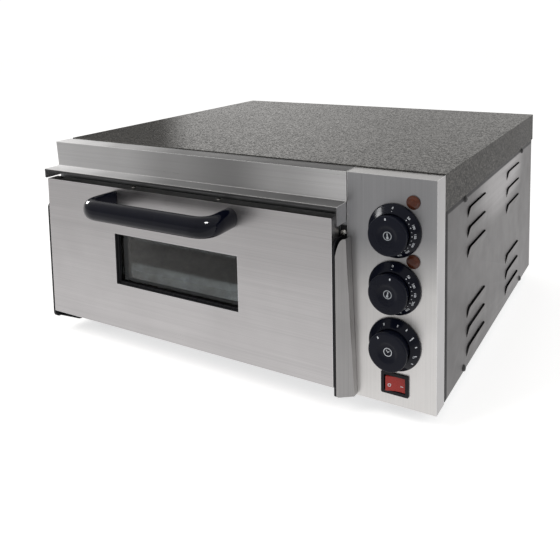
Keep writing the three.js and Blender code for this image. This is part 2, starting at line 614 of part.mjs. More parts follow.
// ================= assembly =================
place('base_pan', basePan(), 'steelDark')
for (const [tag, [x, y]] of Object.entries(FEET)) place(`foot_${tag}`, foot(x, y), 'rubber')
place('right_side_panel', sidePanel(1), 'steelDark')
place('left_side_panel', sidePanel(-1), 'steelDark')
place('back_panel', backPanel(), 'steelDark')
place('top_cover', topCover(), 'cover')
place('front_hood', frontHood(), 'steel')
place('control_panel', controlPanel(), 'steel')
place('front_frame', frontFrame(), 'steelDark')
place('hinge_plate_left', hingePlateLeft(), 'black')
place('hinge_plate_right', hingePlateRight(), 'black')
place('hinge_guard', hingeGuard(), 'steel')
place('hinge_plate_screw', hingePlateScrew(), 'zinc')
place('hinge_pin_left', hingePin(-3.9, 14), 'zinc')
place('hinge_pin_right', hingePin(434.8, 451.1), 'zinc')

place('chamber_liner', chamberLiner(), 'liner')
place('baking_stone', bakingStone(), 'stone')
place('element_upper', heatingElement(ELEMENT.upper), 'element')
place('element_lower', heatingElement(ELEMENT.lower), 'element')
place('insulation_lower', wool(8, CHAMBER.z0 - CLEAR), 'wool')
place('insulation_upper', insulationUpper(), 'wool')
place('compartment_divider', compartmentDivider(), 'steelDark')
place('thermostat_upper', thermostat(KNOBS[0].z), 'ivory')
place('thermostat_lower', thermostat(KNOBS[1].z), 'ivory')
place('timer_body', timerBody(), 'ivory')
place('thermostat_bulb_upper', thermostatBulb(BULBS[0], KNOBS[0].z), 'brass')
place('thermostat_bulb_lower', thermostatBulb(BULBS[1], KNOBS[1].z), 'brass')
place('terminal_block', terminalBlock(), 'ivory')
place('cable_gland', cableGland(), 'black')
place('power_cord', powerCord(), 'rubber')
for (const [tag, side] of [['right', 1], ['left', -1]]) {
  for (const [end, y] of Object.entries(SCREW_Y)) {
    for (const [level, z] of Object.entries(SCREW_Z)) {
      place(`side_screw_${tag}_${end}_${level}`, sideScrew(side, y, z), 'black')
    }
  }
}

place('door_skin', doorSkin(), 'steel')
place('door_inner_panel', doorInnerPanel(), 'steelDark')
place('window_trim', windowTrim(), 'black')
place('door_glass', doorGlass(), 'glass')
place('door_handle', doorHandle(), 'gloss')
const SIDES = ['left', 'right']
SIDES.forEach((tag, i) => place(`handle_screw_${tag}`, handleScrew(HANDLE_X[i]), 'zinc'))
SIDES.forEach((tag, i) =>
  place(`door_top_screw_${tag}`, doorTopScrew(DOOR_SCREWS.x[i + 1]), 'zinc'))

for (const control of KNOBS) {
  place(`dial_${control.tag}`, dial(control.z), 'gloss')
  place(`knob_${control.tag}`, knob(control), 'gloss')
}
for (const [tag, z] of Object.entries(LAMP_Z)) place(`pilot_lamp_${tag}`, pilotLamp(z), 'amber')
place('switch_housing', switchHousing(), 'black')
place('switch_rocker', switchRocker(), 'red')

export default group
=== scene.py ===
import math

import bmesh
import bpy
from mathutils import Matrix, Vector


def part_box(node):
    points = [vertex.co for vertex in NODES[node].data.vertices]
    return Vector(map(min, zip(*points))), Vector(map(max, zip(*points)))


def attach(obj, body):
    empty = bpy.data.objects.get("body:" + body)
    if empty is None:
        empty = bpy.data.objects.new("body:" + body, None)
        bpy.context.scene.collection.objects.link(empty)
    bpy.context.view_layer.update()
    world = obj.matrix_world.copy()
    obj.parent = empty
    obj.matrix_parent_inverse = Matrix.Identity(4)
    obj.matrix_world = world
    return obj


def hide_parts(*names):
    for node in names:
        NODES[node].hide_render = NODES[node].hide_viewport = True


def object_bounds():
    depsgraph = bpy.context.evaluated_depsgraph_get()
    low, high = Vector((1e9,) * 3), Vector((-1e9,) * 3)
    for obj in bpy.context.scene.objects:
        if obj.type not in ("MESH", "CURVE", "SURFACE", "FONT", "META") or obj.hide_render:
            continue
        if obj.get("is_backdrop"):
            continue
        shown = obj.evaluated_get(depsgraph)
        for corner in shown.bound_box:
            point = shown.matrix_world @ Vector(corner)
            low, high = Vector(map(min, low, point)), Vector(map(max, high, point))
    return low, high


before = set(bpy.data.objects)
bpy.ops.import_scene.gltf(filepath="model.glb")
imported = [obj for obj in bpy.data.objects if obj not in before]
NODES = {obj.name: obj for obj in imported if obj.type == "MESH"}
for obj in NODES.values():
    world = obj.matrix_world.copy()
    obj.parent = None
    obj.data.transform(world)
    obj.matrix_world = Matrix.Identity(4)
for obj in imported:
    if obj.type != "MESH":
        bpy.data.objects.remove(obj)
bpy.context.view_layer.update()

scene = bpy.context.scene
MM = 0.001


# ------------------------------------------------------------------ materials
class Mat:
    """A node material: m.n() adds a node, m.link() joins two sockets."""

    def __init__(self, name):
        self.m = bpy.data.materials.new(name)
        self.m.use_nodes = True
        self.t = self.m.node_tree
        self.t.nodes.clear()
        self.out = self.n("ShaderNodeOutputMaterial")
        self.b = self.n("ShaderNodeBsdfPrincipled")
        self.link(self.b.outputs["BSDF"], self.out.inputs["Surface"])
        self._obj = None

    def n(self, kind, **props):
        node = self.t.nodes.new(kind)
        for k, v in props.items():
            setattr(node, k, v)
        return node

    def link(self, a, b):
        self.t.links.new(a, b)

    def set(self, **vals):
        for k, v in vals.items():
            self.b.inputs[k.replace("_", " ")].default_value = v

    def coords(self):
        if self._obj is None:
            self._obj = self.n("ShaderNodeTexCoord").outputs["Object"]
        return self._obj

    def mapped(self, scale, rot=(0, 0, 0), loc=(0, 0, 0)):
        mp = self.n("ShaderNodeMapping")
        mp.inputs["Scale"].default_value = scale
        mp.inputs["Rotation"].default_value = rot
        mp.inputs["Location"].default_value = loc
        self.link(self.coords(), mp.inputs["Vector"])
        return mp.outputs["Vector"]

    def noise(self, scale, detail=4, rough=0.55, vec=None, rot=(0, 0, 0), distort=0.0, loc=(0, 0, 0)):
        """Noise over object coordinates stretched by scale, a number or three numbers per metre."""
        if isinstance(scale, (int, float)):
            scale = (scale,) * 3
        nz = self.n("ShaderNodeTexNoise")
        nz.inputs["Scale"].default_value = 1.0
        nz.inputs["Detail"].default_value = detail
        nz.inputs["Roughness"].default_value = rough
        nz.inputs["Distortion"].default_value = distort
        self.link(vec or self.mapped(scale, rot, loc), nz.inputs["Vector"])
        return nz.outputs["Fac"]

    def ramp(self, fac, stops, interp="LINEAR"):
        r = self.n("ShaderNodeValToRGB")
        r.color_ramp.interpolation = interp
        e = r.color_ramp.elements
        while len(e) < len(stops):
            e.new(0.5)
        for el, (p, c) in zip(e, stops):
            el.position = p
            el.color = (c, c, c, 1) if isinstance(c, (int, float)) else (*c, 1)
        self.link(fac, r.inputs["Fac"])
        return r.outputs["Color"]

    def mapr(self, v, a, b, c, d, clamp=True, smooth=False):
        m = self.n("ShaderNodeMapRange", clamp=clamp)
        if smooth:
            m.interpolation_type = "SMOOTHSTEP"
        for k, x in zip(("From Min", "From Max", "To Min", "To Max"), (a, b, c, d)):
            m.inputs[k].default_value = x
        self.link(v, m.inputs["Value"])
        return m.outputs["Result"]

    def math(self, op, a, b=None, c=None, clamp=False):
        m = self.n("ShaderNodeMath", operation=op, use_clamp=clamp)
        for i, x in enumerate((a, b, c)):
            if x is None:
                continue
            if isinstance(x, (int, float)):
                m.inputs[i].default_value = x
            else:
                self.link(x, m.inputs[i])
        return m.outputs["Value"]

    def mix(self, fac, a, b, mode="MIX"):
        m = self.n("ShaderNodeMix", data_type="RGBA", blend_type=mode)
        for i, x in ((0, fac), (6, a), (7, b)):
            sock = m.inputs[i]
            if isinstance(x, (int, float)):
                sock.default_value = x if i == 0 else (x, x, x, 1)
            elif isinstance(x, tuple):
                sock.default_value = (*x, 1)
            else:
                self.link(x, sock)
        return m.outputs[2]

    def xyz(self, vec=None):
        s = self.n("ShaderNodeSeparateXYZ")
        self.link(vec or self.coords(), s.inputs[0])
        return s.outputs["X"], s.outputs["Y"], s.outputs["Z"]

    def bump(self, height, strength=0.2, dist=0.0002, normal=None):
        bp = self.n("ShaderNodeBump")
        bp.inputs["Strength"].default_value = strength
        bp.inputs["Distance"].default_value = dist
        self.link(height, bp.inputs["Height"])
        if normal is not None:
            self.link(normal, bp.inputs["Normal"])
        return bp.outputs["Normal"]

    def edge(self, radius=0.0007):
        """1 on sharp edges, 0 on flats: compares the surface with a slightly rounded version of itself."""
        g = self.n("ShaderNodeNewGeometry")
        bv = self.n("ShaderNodeBevel", samples=4)
        bv.inputs["Radius"].default_value = radius
        d = self.n("ShaderNodeVectorMath", operation="DOT_PRODUCT")
        self.link(g.outputs["Normal"], d.inputs[0])
        self.link(bv.outputs["Normal"], d.inputs[1])
        return self.mapr(d.outputs["Value"], 0.995, 0.90, 0, 1)

    def to(self, sock, v):
        self.link(v, self.b.inputs[sock])


def brushed(name, dark, light, grain="x", rough=(0.26, 0.40), tint=None, fine=1500.0, bump=0.05, metallic=1.0, wear_and_glint=0.35,
            smudge=0.12, aniso=0.5, top_shows_painted_shade=False, shade=None):
    """Brushed sheet: two scales of scratches along the grain, faint smudges, and edges lightened as painted highlights.
    """
    m = Mat(name)
    run, across = 5.0, fine
    order = {"x": (run, across, across), "y": (across, run, across), "z": (across, across, run)}[grain]
    mid = tuple(v if v == run else across * 0.16 for v in order)
    a = m.noise(order, detail=3, rough=0.6)
    b = m.noise(tuple(v if v != run else run * 0.5 for v in mid), detail=3, rough=0.6)
    blot = m.noise(5.5, detail=5, rough=0.6, distort=0.3)
    spots = m.noise(38, detail=3, rough=0.5)
    lines = m.math("ADD", m.math("MULTIPLY", a, 0.6), m.math("MULTIPLY", b, 0.4))
    col = m.ramp(m.mapr(lines, 0.34, 0.66, 0, 1), [(0, dark), (1, light)])
    # the tint functions paint light and shade into the colour
    if tint is not None:
        col = tint(m, col)
    col = m.mix(m.mapr(blot, 0.35, 0.72, 0, smudge), col, tuple(c * 0.72 for c in dark))
    # painted highlight: sharp edges are lightened so they read as glints
    col = m.mix(m.math("MULTIPLY", m.edge(0.0012), wear_and_glint), col, tuple(min(1, c * 1.6) for c in light))
    m.to("Base Color", col)
    m.set(Metallic=metallic, Anisotropic=aniso)
    if top_shows_painted_shade:
        # top faces turn almost non-metallic so the painted shelf shading shows as plain colour
        m.to("Metallic", m.mapr(facing(m, "z"), 0.3, 0.8, metallic, 0.12))
        m.b.inputs["Specular IOR Level"].default_value = 0.12
    if shade is not None:
        # painted shade in seams and on the hood's lip: dull and dark there
        dim = shade(m)
        old = m.b.inputs["Metallic"]
        keep = m.math("SUBTRACT", 1.0, dim)
        m.to("Metallic", m.math("MULTIPLY", keep, old.links[0].from_socket if old.is_linked else metallic))
        m.to("Base Color", m.mix(dim, col, (0.010, 0.010, 0.011)))
        m.b.inputs["Specular IOR Level"].default_value = 0.10
    r = m.math("ADD", m.mapr(lines, 0.3, 0.7, rough[0], rough[1], clamp=False), m.mapr(spots, 0.35, 0.75, -0.02, 0.05))
    m.to("Roughness", m.math("ADD", r, m.mapr(blot, 0.3, 0.75, -0.02, 0.06), clamp=True))
    if aniso:
        v = m.n("ShaderNodeCombineXYZ")
        v.inputs["xyz".index(grain)].default_value = 1.0
        m.to("Tangent", v.outputs[0])
    m.to("Normal", m.bump(lines, bump, 0.0001, m.bump(blot, 0.25, 0.0012)))
    return m.m


def plastic(name, base, rough=(0.2, 0.3), coat=0.0, grain=900.0, bump=0.06, spec=0.5, wear_and_glint=(0.10, 0.10, 0.11), wear_amt=0.5, vary=1.35, dusty=0.03):
    """Moulded plastic or paint: slight colour drift, fine moulding texture, dusty variation and rubbed edges."""
    m = Mat(name)
    drift = m.noise(26, detail=5, rough=0.6)
    fine = m.noise(grain, detail=3, rough=0.6)
    dust = m.noise(160, detail=5, rough=0.7, distort=0.4)
    col = m.mix(m.mapr(drift, 0.3, 0.7, 0, 1), tuple(base), tuple(min(1, c * vary) for c in base))
    col = m.mix(m.mapr(dust, 0.58, 0.85, 0, dusty), col, (0.42, 0.41, 0.40))
    col = m.mix(m.math("MULTIPLY", m.edge(), wear_amt), col, wear_and_glint)
    m.to("Base Color", col)
    m.set(Coat_Weight=coat, Coat_Roughness=0.08)
    m.b.inputs["Specular IOR Level"].default_value = spec
    m.to("Roughness", m.math("ADD", m.mapr(drift, 0.3, 0.7, rough[0], rough[1]), m.mapr(dust, 0.5, 0.85, 0, 0.12), clamp=True))
    m.to("Normal", m.bump(fine, bump, 0.0001, m.bump(drift, 0.08, 0.0006)))
    return m.m


def facing(m, axis):
    """How far the surface turns towards +/- one axis, 0 to 1."""
    g = m.n("ShaderNodeNewGeometry")
    return m.math("ABSOLUTE", m.xyz(g.outputs["True Normal"])["xyz".index(axis)])


def panel_painted_light(m, col):
    """The dial panel: painted reflection, a slow shift from a cooler, darker top to a light, slightly warm bottom;
    folded edges given a lighter painted tone by the way they face.
    """
    x, _, z = m.xyz()
    left = m.ramp(m.mapr(z, 0.02, 0.275, 0, 1), [(0, (0.98, 0.97, 0.955)), (0.30, (0.80, 0.79, 0.78)), (0.50, (0.72, 0.715, 0.71)), (0.72, (0.40, 0.405, 0.42)), (1, (0.46, 0.465, 0.48))])
    right = m.ramp(m.mapr(z, 0.02, 0.275, 0, 1), [(0, (1.0, 0.99, 0.975)), (0.30, (1.0, 0.99, 0.98)), (0.52, (0.98, 0.975, 0.96)), (0.76, (0.45, 0.455, 0.47)), (1, (0.46, 0.465, 0.48))])
    g = m.mix(m.mapr(x, 0.185, 0.265, 0, 1, smooth=True), left, right)
    g = m.mix(m.mapr(facing(m, "y"), 0.3, 0.8, 1, 0), g, (0.66, 0.66, 0.665))
    return m.mix(1.0, col, g, "MULTIPLY")


def side_painted_light(m, col):
    """Side sheet: a painted highlight, a soft light patch high up towards the rear, and painted shade a little darker
    low at the front.
    """
    _, y, z = m.xyz()
    dy, dz = m.math("DIVIDE", m.math("SUBTRACT", y, 0.075), 0.13), m.math("DIVIDE", m.math("SUBTRACT", z, 0.225), 0.055)
    d = m.math("ADD", m.math("MULTIPLY", dy, dy), m.math("MULTIPLY", dz, dz))
    # the painted highlight patch high up at the rear
    glow = m.math("MULTIPLY", m.mapr(d, 0.0, 1.6, 1, 0, smooth=True), 1.5)
    # painted shade: darker towards the front
    lift = m.mapr(y, -0.2, 0.1, 0.0, 0.22, smooth=True)
    k = m.math("ADD", m.math("ADD", glow, lift), 0.95)
    return m.mix(1.0, col, k, "MULTIPLY")


def side_painted_seam_shadow(m):
    """Side sheet: painted shadow in the seam under the cover's flange and in the one behind the front panel."""
    _, y, z = m.xyz()
    return m.math("MAXIMUM", m.mapr(z, 0.2302, 0.2322, 0, 0.9, smooth=True), m.mapr(y, -0.1912, -0.1935, 0, 0.97, smooth=True))


def hood_lip_painted_shade(m):
    """Hood: painted shade on the downturned lip under the shelf, but not on its end tabs."""
    _, _, z = m.xyz()
    low = m.mapr(z, SHELF_TOP + 0.0001, SHELF_TOP - 0.0009, 0, 0.95, smooth=True)
    return m.math("MULTIPLY", low, m.mapr(facing(m, "x"), 0.3, 0.8, 1, 0))


def hood_painted_reflection(m, col):
    """The hood: painted reflections, lighter at both ends of its upright strip, and on the shelf a painted shading that
    darkens towards the right.
    """
    x, _, _ = m.xyz()
    t = m.mapr(x, -0.28, 0.176, 0, 1)
    strip = m.ramp(t, [(0, 1.0), (0.10, 0.92), (0.25, 0.86), (0.45, 0.56), (0.66, 0.38), (0.82, 0.68), (1, 1.0)], "EASE")
    shelf = m.ramp(t, [(0, 1.0), (0.14, 0.80), (0.25, 0.55), (0.5, 0.22), (0.8, 0.10), (1, 0.09)], "EASE")
    return m.mix(1.0, col, m.mix(m.mapr(facing(m, "z"), 0.3, 0.8, 0, 1), strip, shelf), "MULTIPLY")


MATS = {}
SHELF_TOP = 243.4 * MM
# The door, hood, panel and guard are one brushed stainless; their base colours differ as painted light and shade: hood
# and panel brightest, door darker, guard darkest.
MATS["door_steel"] = brushed("brushed_stainless_door", (0.55, 0.54, 0.54), (0.67, 0.655, 0.655), "x", wear_and_glint=0.9)
MATS["hood_steel"] = brushed("brushed_stainless_hood", (0.84, 0.84, 0.85), (0.97, 0.97, 0.98), "x", tint=hood_painted_reflection, wear_and_glint=0.9, top_shows_painted_shade=True, shade=hood_lip_painted_shade)
MATS["panel_steel"] = brushed("brushed_stainless_panel", (0.78, 0.78, 0.775), (0.92, 0.915, 0.91), "z", tint=panel_painted_light, wear_and_glint=0.9)
MATS["guard_steel"] = brushed("brushed_stainless_guard", (0.34, 0.335, 0.335), (0.44, 0.435, 0.43), "z", rough=(0.24, 0.36))
MATS["side_steel"] = brushed("side_sheet", (0.165, 0.162, 0.162), (0.235, 0.232, 0.232), "y", rough=(0.30, 0.42), wear_and_glint=0.5, tint=side_painted_light, shade=side_painted_seam_shadow)
MATS["galvanised"] = brushed("galvanised_sheet", (0.30, 0.31, 0.32), (0.44, 0.45, 0.46), "x", rough=(0.36, 0.52), fine=500, smudge=0.4)
MATS["liner"] = brushed("chamber_liner_sheet", (0.22, 0.205, 0.19), (0.34, 0.32, 0.30), "y", rough=(0.36, 0.52), fine=900, smudge=0.5)
MATS["black_steel"] = plastic("black_painted_steel", (0.008, 0.008, 0.010), (0.36, 0.48), bump=0.12, spec=0.25, wear_and_glint=(0.10, 0.10, 0.10), wear_amt=0.4)
MATS["gloss_black"] = plastic("gloss_black_plastic", (0.0024, 0.0030, 0.0075), (0.07, 0.12), bump=0.02, spec=0.26, wear_and_glint=(0.03, 0.032, 0.045), dusty=0.015)
MATS["knob_black"] = plastic("knob_black_plastic", (0.0042, 0.0052, 0.0105), (0.24, 0.34), bump=0.03, spec=0.18, wear_and_glint=(0.05, 0.052, 0.065))
MATS["matte_black"] = plastic("matte_black_plastic", (0.007, 0.007, 0.009), (0.42, 0.55), bump=0.15, spec=0.25, wear_and_glint=(0.05, 0.05, 0.055))
MATS["rubber"] = plastic("black_rubber", (0.010, 0.010, 0.011), (0.68, 0.85), grain=1400, bump=0.3, spec=0.3, wear_and_glint=(0.05, 0.05, 0.05))
MATS["ivory"] = plastic("ivory_plastic", (0.60, 0.54, 0.42), (0.40, 0.5), wear_and_glint=(0.78, 0.74, 0.64), vary=1.1)


def cover_material():
    """Dark sheet under a semi-gloss, finely pebbled coat that takes most of its light at a low angle."""
    m = Mat("textured_cover_sheet")
    vor = m.n("ShaderNodeTexVoronoi", feature="F1")
    vor.inputs["Scale"].default_value = 1.0
    m.link(m.mapped((330, 330, 330)), vor.inputs["Vector"])
    dimple = m.mapr(vor.outputs["Distance"], 0.05, 0.65, 1, 0)
    grit = m.noise(640, detail=2, rough=0.6)
    patch = m.noise(345, detail=2, rough=0.6)
    cloud = m.noise(7, detail=4, rough=0.5)
    v = m.math("ADD", m.math("MULTIPLY", grit, 0.5), m.math("MULTIPLY", patch, 0.5))
    col = m.ramp(m.mapr(v, 0.38, 0.62, 0, 1), [(0, (0.014, 0.0145, 0.0145)), (0.5, (0.040, 0.039, 0.036)), (1, (0.130, 0.123, 0.112))])
    col = m.mix(m.mapr(cloud, 0.35, 0.7, 0, 0.25), col, (0.050, 0.048, 0.045))
    # painted highlight: sharp edges lightened so they read as glints
    col = m.mix(m.math("MULTIPLY", m.edge(), 0.5), col, (0.34, 0.34, 0.33))
    m.to("Base Color", col)
    m.b.inputs["Specular IOR Level"].default_value = 0.2
    m.to("Roughness", m.math("ADD", m.mapr(v, 0.3, 0.7, 0.50, 0.62), m.mapr(cloud, 0.3, 0.7, -0.02, 0.04), clamp=True))
    # the coat is weaker on upright faces: painted shade on the flanges
    m.to("Coat Weight", m.math("MULTIPLY", m.mapr(v, 0.41, 0.59, 0.08, 0.95), m.mapr(facing(m, "z"), 0.3, 0.8, 0.25, 1)))
    m.to("Coat Roughness", m.mapr(cloud, 0.3, 0.7, 0.08, 0.12))
    m.b.inputs["Coat IOR"].default_value = 1.5
    h = m.math("ADD", m.math("MULTIPLY", dimple, 0.5), m.math("MULTIPLY", grit, 0.5))
    n = m.bump(h, 0.3, 0.0003)
    m.to("Normal", n)
    m.to("Coat Normal", m.bump(patch, 0.10, 0.0004))
    return m.m


def zinc_material():
    m = Mat("zinc_plated_steel")
    a = m.noise(420, detail=4, rough=0.6)
    b = m.noise(90, detail=3)
    col = m.ramp(m.mapr(a, 0.3, 0.7, 0, 1), [(0, (0.50, 0.495, 0.47)), (1, (0.76, 0.755, 0.73))])
    col = m.mix(m.mapr(b, 0.45, 0.75, 0, 0.3), col, (0.40, 0.36, 0.28))
    m.to("Base Color", col)
    m.set(Metallic=1.0)
    m.to("Roughness", m.mapr(a, 0.3, 0.7, 0.16, 0.34))
    m.to("Normal", m.bump(a, 0.1, 0.0001))
    return m.m


def stone_material():
    m = Mat("cordierite_stone")
    big = m.noise(22, detail=6, rough=0.65)
    grit = m.noise(700, detail=4, rough=0.75)
    pores = m.n("ShaderNodeTexVoronoi", feature="F1")
    m.link(m.mapped((260, 260, 260)), pores.inputs["Vector"])
    pores.inputs["Scale"].default_value = 1.0
    pit = m.mapr(pores.outputs["Distance"], 0.0, 0.22, 1, 0)
    col = m.ramp(m.mapr(big, 0.3, 0.7, 0, 1), [(0, (0.42, 0.35, 0.25)), (0.6, (0.54, 0.46, 0.34)), (1, (0.62, 0.54, 0.42))])
    col = m.mix(m.mapr(grit, 0.5, 0.75, 0, 0.5), col, (0.30, 0.26, 0.20))
    m.to("Base Color", m.mix(m.math("MULTIPLY", pit, 0.6), col, (0.16, 0.13, 0.10)))
    m.to("Roughness", m.mapr(grit, 0.3, 0.7, 0.85, 0.98))
    m.to("Normal", m.bump(m.math("SUBTRACT", grit, pit), 0.5, 0.0004))
    return m.m


def element_material():
    m = Mat("oxidised_heating_tube")
    a = m.noise((60, 60, 60), detail=5, rough=0.65)
    b = m.noise(600, detail=3)
    col = m.ramp(m.mapr(a, 0.3, 0.7, 0, 1), [(0, (0.060, 0.052, 0.048)), (0.6, (0.12, 0.10, 0.09)), (1, (0.20, 0.15, 0.12))])
    m.to("Base Color", col)
    m.set(Metallic=0.75)
    m.to("Roughness", m.mapr(b, 0.3, 0.7, 0.42, 0.62))
    m.to("Normal", m.bump(b, 0.2, 0.0002))
    return m.m


def wool_material():
    m = Mat("mineral_wool")
    a = m.noise((30, 400, 900), detail=6, rough=0.75, distort=1.2)
    b = m.noise((500, 60, 500), detail=6, rough=0.75, distort=1.0)
    v = m.math("MULTIPLY", m.math("ADD", a, b), 0.5)
    m.to("Base Color", m.ramp(m.mapr(v, 0.35, 0.65, 0, 1), [(0, (0.42, 0.38, 0.28)), (1, (0.78, 0.74, 0.62))]))
    m.set(Roughness=0.95)
    m.b.inputs["Sheen Weight"].default_value = 0.3
    m.to("Normal", m.bump(v, 0.8, 0.001))
    return m.m


def brass_material():
    m = Mat("brass_tube")
    a = m.noise((200, 200, 200), detail=4, rough=0.6)
    m.to("Base Color", m.ramp(m.mapr(a, 0.3, 0.7, 0, 1), [(0, (0.40, 0.26, 0.10)), (1, (0.66, 0.47, 0.22))]))
    m.set(Metallic=1.0)
    m.to("Roughness", m.mapr(a, 0.3, 0.7, 0.25, 0.42))
    m.to("Normal", m.bump(a, 0.1, 0.0001))
    return m.m


def amber_material():
    m = Mat("amber_lamp_lens")
    x, y, z = m.xyz()
    lw = m.n("ShaderNodeLayerWeight")
    lw.inputs["Blend"].default_value = 0.45
    mott = m.noise(600, detail=4, rough=0.6)
    col = m.ramp(lw.outputs["Facing"], [(0, (0.075, 0.018, 0.008)), (0.45, (0.052, 0.014, 0.007)), (1, (0.020, 0.008, 0.005))])
    col = m.mix(m.mapr(mott, 0.4, 0.7, 0, 0.35), col, (0.13, 0.040, 0.016))
    m.to("Base Color", col)
    m.to("Roughness", m.mapr(mott, 0.3, 0.7, 0.10, 0.22))
    m.set(Coat_Weight=0.2, Coat_Roughness=0.06)
    m.b.inputs["Specular IOR Level"].default_value = 0.3
    m.b.inputs["Subsurface Weight"].default_value = 0.15
    m.b.inputs["Subsurface Radius"].default_value = (0.003, 0.001, 0.0004)
    m.to("Normal", m.bump(mott, 0.15, 0.0002))
    return m.m


def red_material():
    m = Mat("red_rocker_plastic")
    lw = m.n("ShaderNodeLayerWeight")
    lw.inputs["Blend"].default_value = 0.35
    mott = m.noise(300, detail=4, rough=0.6)
    col = m.ramp(lw.outputs["Facing"], [(0, (0.34, 0.028, 0.022)), (0.5, (0.29, 0.022, 0.018)), (1, (0.15, 0.012, 0.012))])
    col = m.mix(m.mapr(mott, 0.4, 0.7, 0, 0.3), col, (0.30, 0.040, 0.034))
    col = m.mix(m.math("MULTIPLY", m.edge(), 0.4), col, (0.62, 0.14, 0.12))
    m.to("Base Color", col)
    m.to("Roughness", m.mapr(mott, 0.3, 0.7, 0.22, 0.34))
    m.set(Coat_Weight=0.1, Coat_Roughness=0.1)
    m.b.inputs["Specular IOR Level"].default_value = 0.3
    m.to("Normal", m.bump(mott, 0.08, 0.0002))
    return m.m


def glass_material():
    """Smoky tempered pane: mirror-like front over a mostly clear, slightly dusty body."""
    m = Mat("dark_tempered_glass")
    dust = m.noise(45, detail=6, rough=0.65, distort=0.6)
    fine = m.noise(1100, detail=2)
    clear = m.n("ShaderNodeBsdfTransparent")
    tint = m.ramp(m.mapr(dust, 0.3, 0.8, 0, 1), [(0, (0.78, 0.75, 0.72)), (1, (0.64, 0.61, 0.58))])
    seen = m.n("ShaderNodeLightPath").outputs["Is Camera Ray"]
    m.link(m.mix(seen, m.mix(1.0, tint, 0.40, "MULTIPLY"), tint), clear.inputs["Color"])
    m.to("Base Color", m.ramp(m.mapr(dust, 0.4, 0.8, 0, 1), [(0, (0.020, 0.017, 0.015)), (1, (0.060, 0.050, 0.044))]))
    m.to("Roughness", m.mapr(dust, 0.35, 0.8, 0.3, 0.5))
    m.b.inputs["Specular IOR Level"].default_value = 0.0
    nrm = m.bump(fine, 0.02, 0.0001, m.bump(m.noise(14, detail=2), 0.15, 0.0006))
    m.to("Normal", nrm)
    body = m.n("ShaderNodeMixShader")
    m.link(m.mapr(dust, 0.35, 0.8, 0.05, 0.14), body.inputs[0])
    m.link(clear.outputs[0], body.inputs[1])
    m.link(m.b.outputs[0], body.inputs[2])
    shine = m.n("ShaderNodeBsdfGlossy")
    m.link(m.mapr(dust, 0.35, 0.8, 0.02, 0.07), shine.inputs["Roughness"])
    shine.inputs["Color"].default_value = (0.93, 0.98, 1.0, 1)
    m.link(nrm, shine.inputs["Normal"])
    fr = m.n("ShaderNodeFresnel")
    fr.inputs["IOR"].default_value = 1.36
    mix = m.n("ShaderNodeMixShader")
    m.link(fr.outputs["Fac"], mix.inputs[0])
    m.link(body.outputs[0], mix.inputs[1])
    m.link(shine.outputs[0], mix.inputs[2])
    m.link(mix.outputs[0], m.out.inputs["Surface"])
    return m.m


def print_material(name, col, rough=0.5):
    m = Mat(name)
    a = m.noise(1500, detail=3, rough=0.7)
    m.to("Base Color", m.mix(m.mapr(a, 0.42, 0.72, 0, 0.45), col, tuple(c * 0.55 for c in col)))
    m.to("Roughness", m.mapr(a, 0.3, 0.7, rough, rough + 0.15))
    m.to("Normal", m.bump(a, 0.1, 0.00005))
    return m.m


MATS["cover"] = cover_material()
MATS["zinc"] = zinc_material()
MATS["dark_screw"] = plastic("blackened_screw", (0.018, 0.018, 0.019), (0.30, 0.42), bump=0.1, wear_and_glint=(0.30, 0.30, 0.29), wear_amt=0.5)
MATS["stone"] = stone_material()
MATS["element"] = element_material()
MATS["wool"] = wool_material()
MATS["brass"] = brass_material()
MATS["amber"] = amber_material()
MATS["red"] = red_material()
MATS["glass"] = glass_material()
MATS["white_print"] = print_material("white_print", (0.66, 0.69, 0.73))
MATS["grey_print"] = print_material("grey_print", (0.42, 0.45, 0.48))


# ------------------------------------------------------------------ tidy-up of carried-over CAD nodes
def node_group(name, smooth):
    g = bpy.data.node_groups.new(name, "GeometryNodeTree")
    g.interface.new_socket("Geometry", in_out="INPUT", socket_type="NodeSocketGeometry")
    g.interface.new_socket("Geometry", in_out="OUTPUT", socket_type="NodeSocketGeometry")
    i, o = g.nodes.new("NodeGroupInput"), g.nodes.new("NodeGroupOutput")
    L = g.links.new
    if not smooth:
        mrg = g.nodes.new("GeometryNodeMergeByDistance")
        mrg.inputs["Distance"].default_value = 1e-5
        L(i.outputs[0], mrg.inputs["Geometry"])
        L(mrg.outputs[0], o.inputs[0])
        return g
    face = g.nodes.new("GeometryNodeSetShadeSmooth")
    face.domain = "FACE"
    face.inputs["Shade Smooth"].default_value = True
    ang = g.nodes.new("GeometryNodeInputMeshEdgeAngle")
    cmp_ = g.nodes.new("FunctionNodeCompare")
    cmp_.data_type, cmp_.operation = "FLOAT", "GREATER_THAN"
    cmp_.inputs["B"].default_value = math.radians(32)
    edge = g.nodes.new("GeometryNodeSetShadeSmooth")
    edge.domain = "EDGE"
    edge.inputs["Shade Smooth"].default_value = False
    L(i.outputs[0], face.inputs["Geometry"])
    L(face.outputs[0], edge.inputs["Geometry"])
    L(ang.outputs["Unsigned Angle"], cmp_.inputs["A"])
    L(cmp_.outputs[0], edge.inputs["Selection"])
    L(edge.outputs[0], o.inputs[0])
    return g


WELD, SMOOTH = node_group("weld_corners", False), node_group("smooth_by_angle", True)


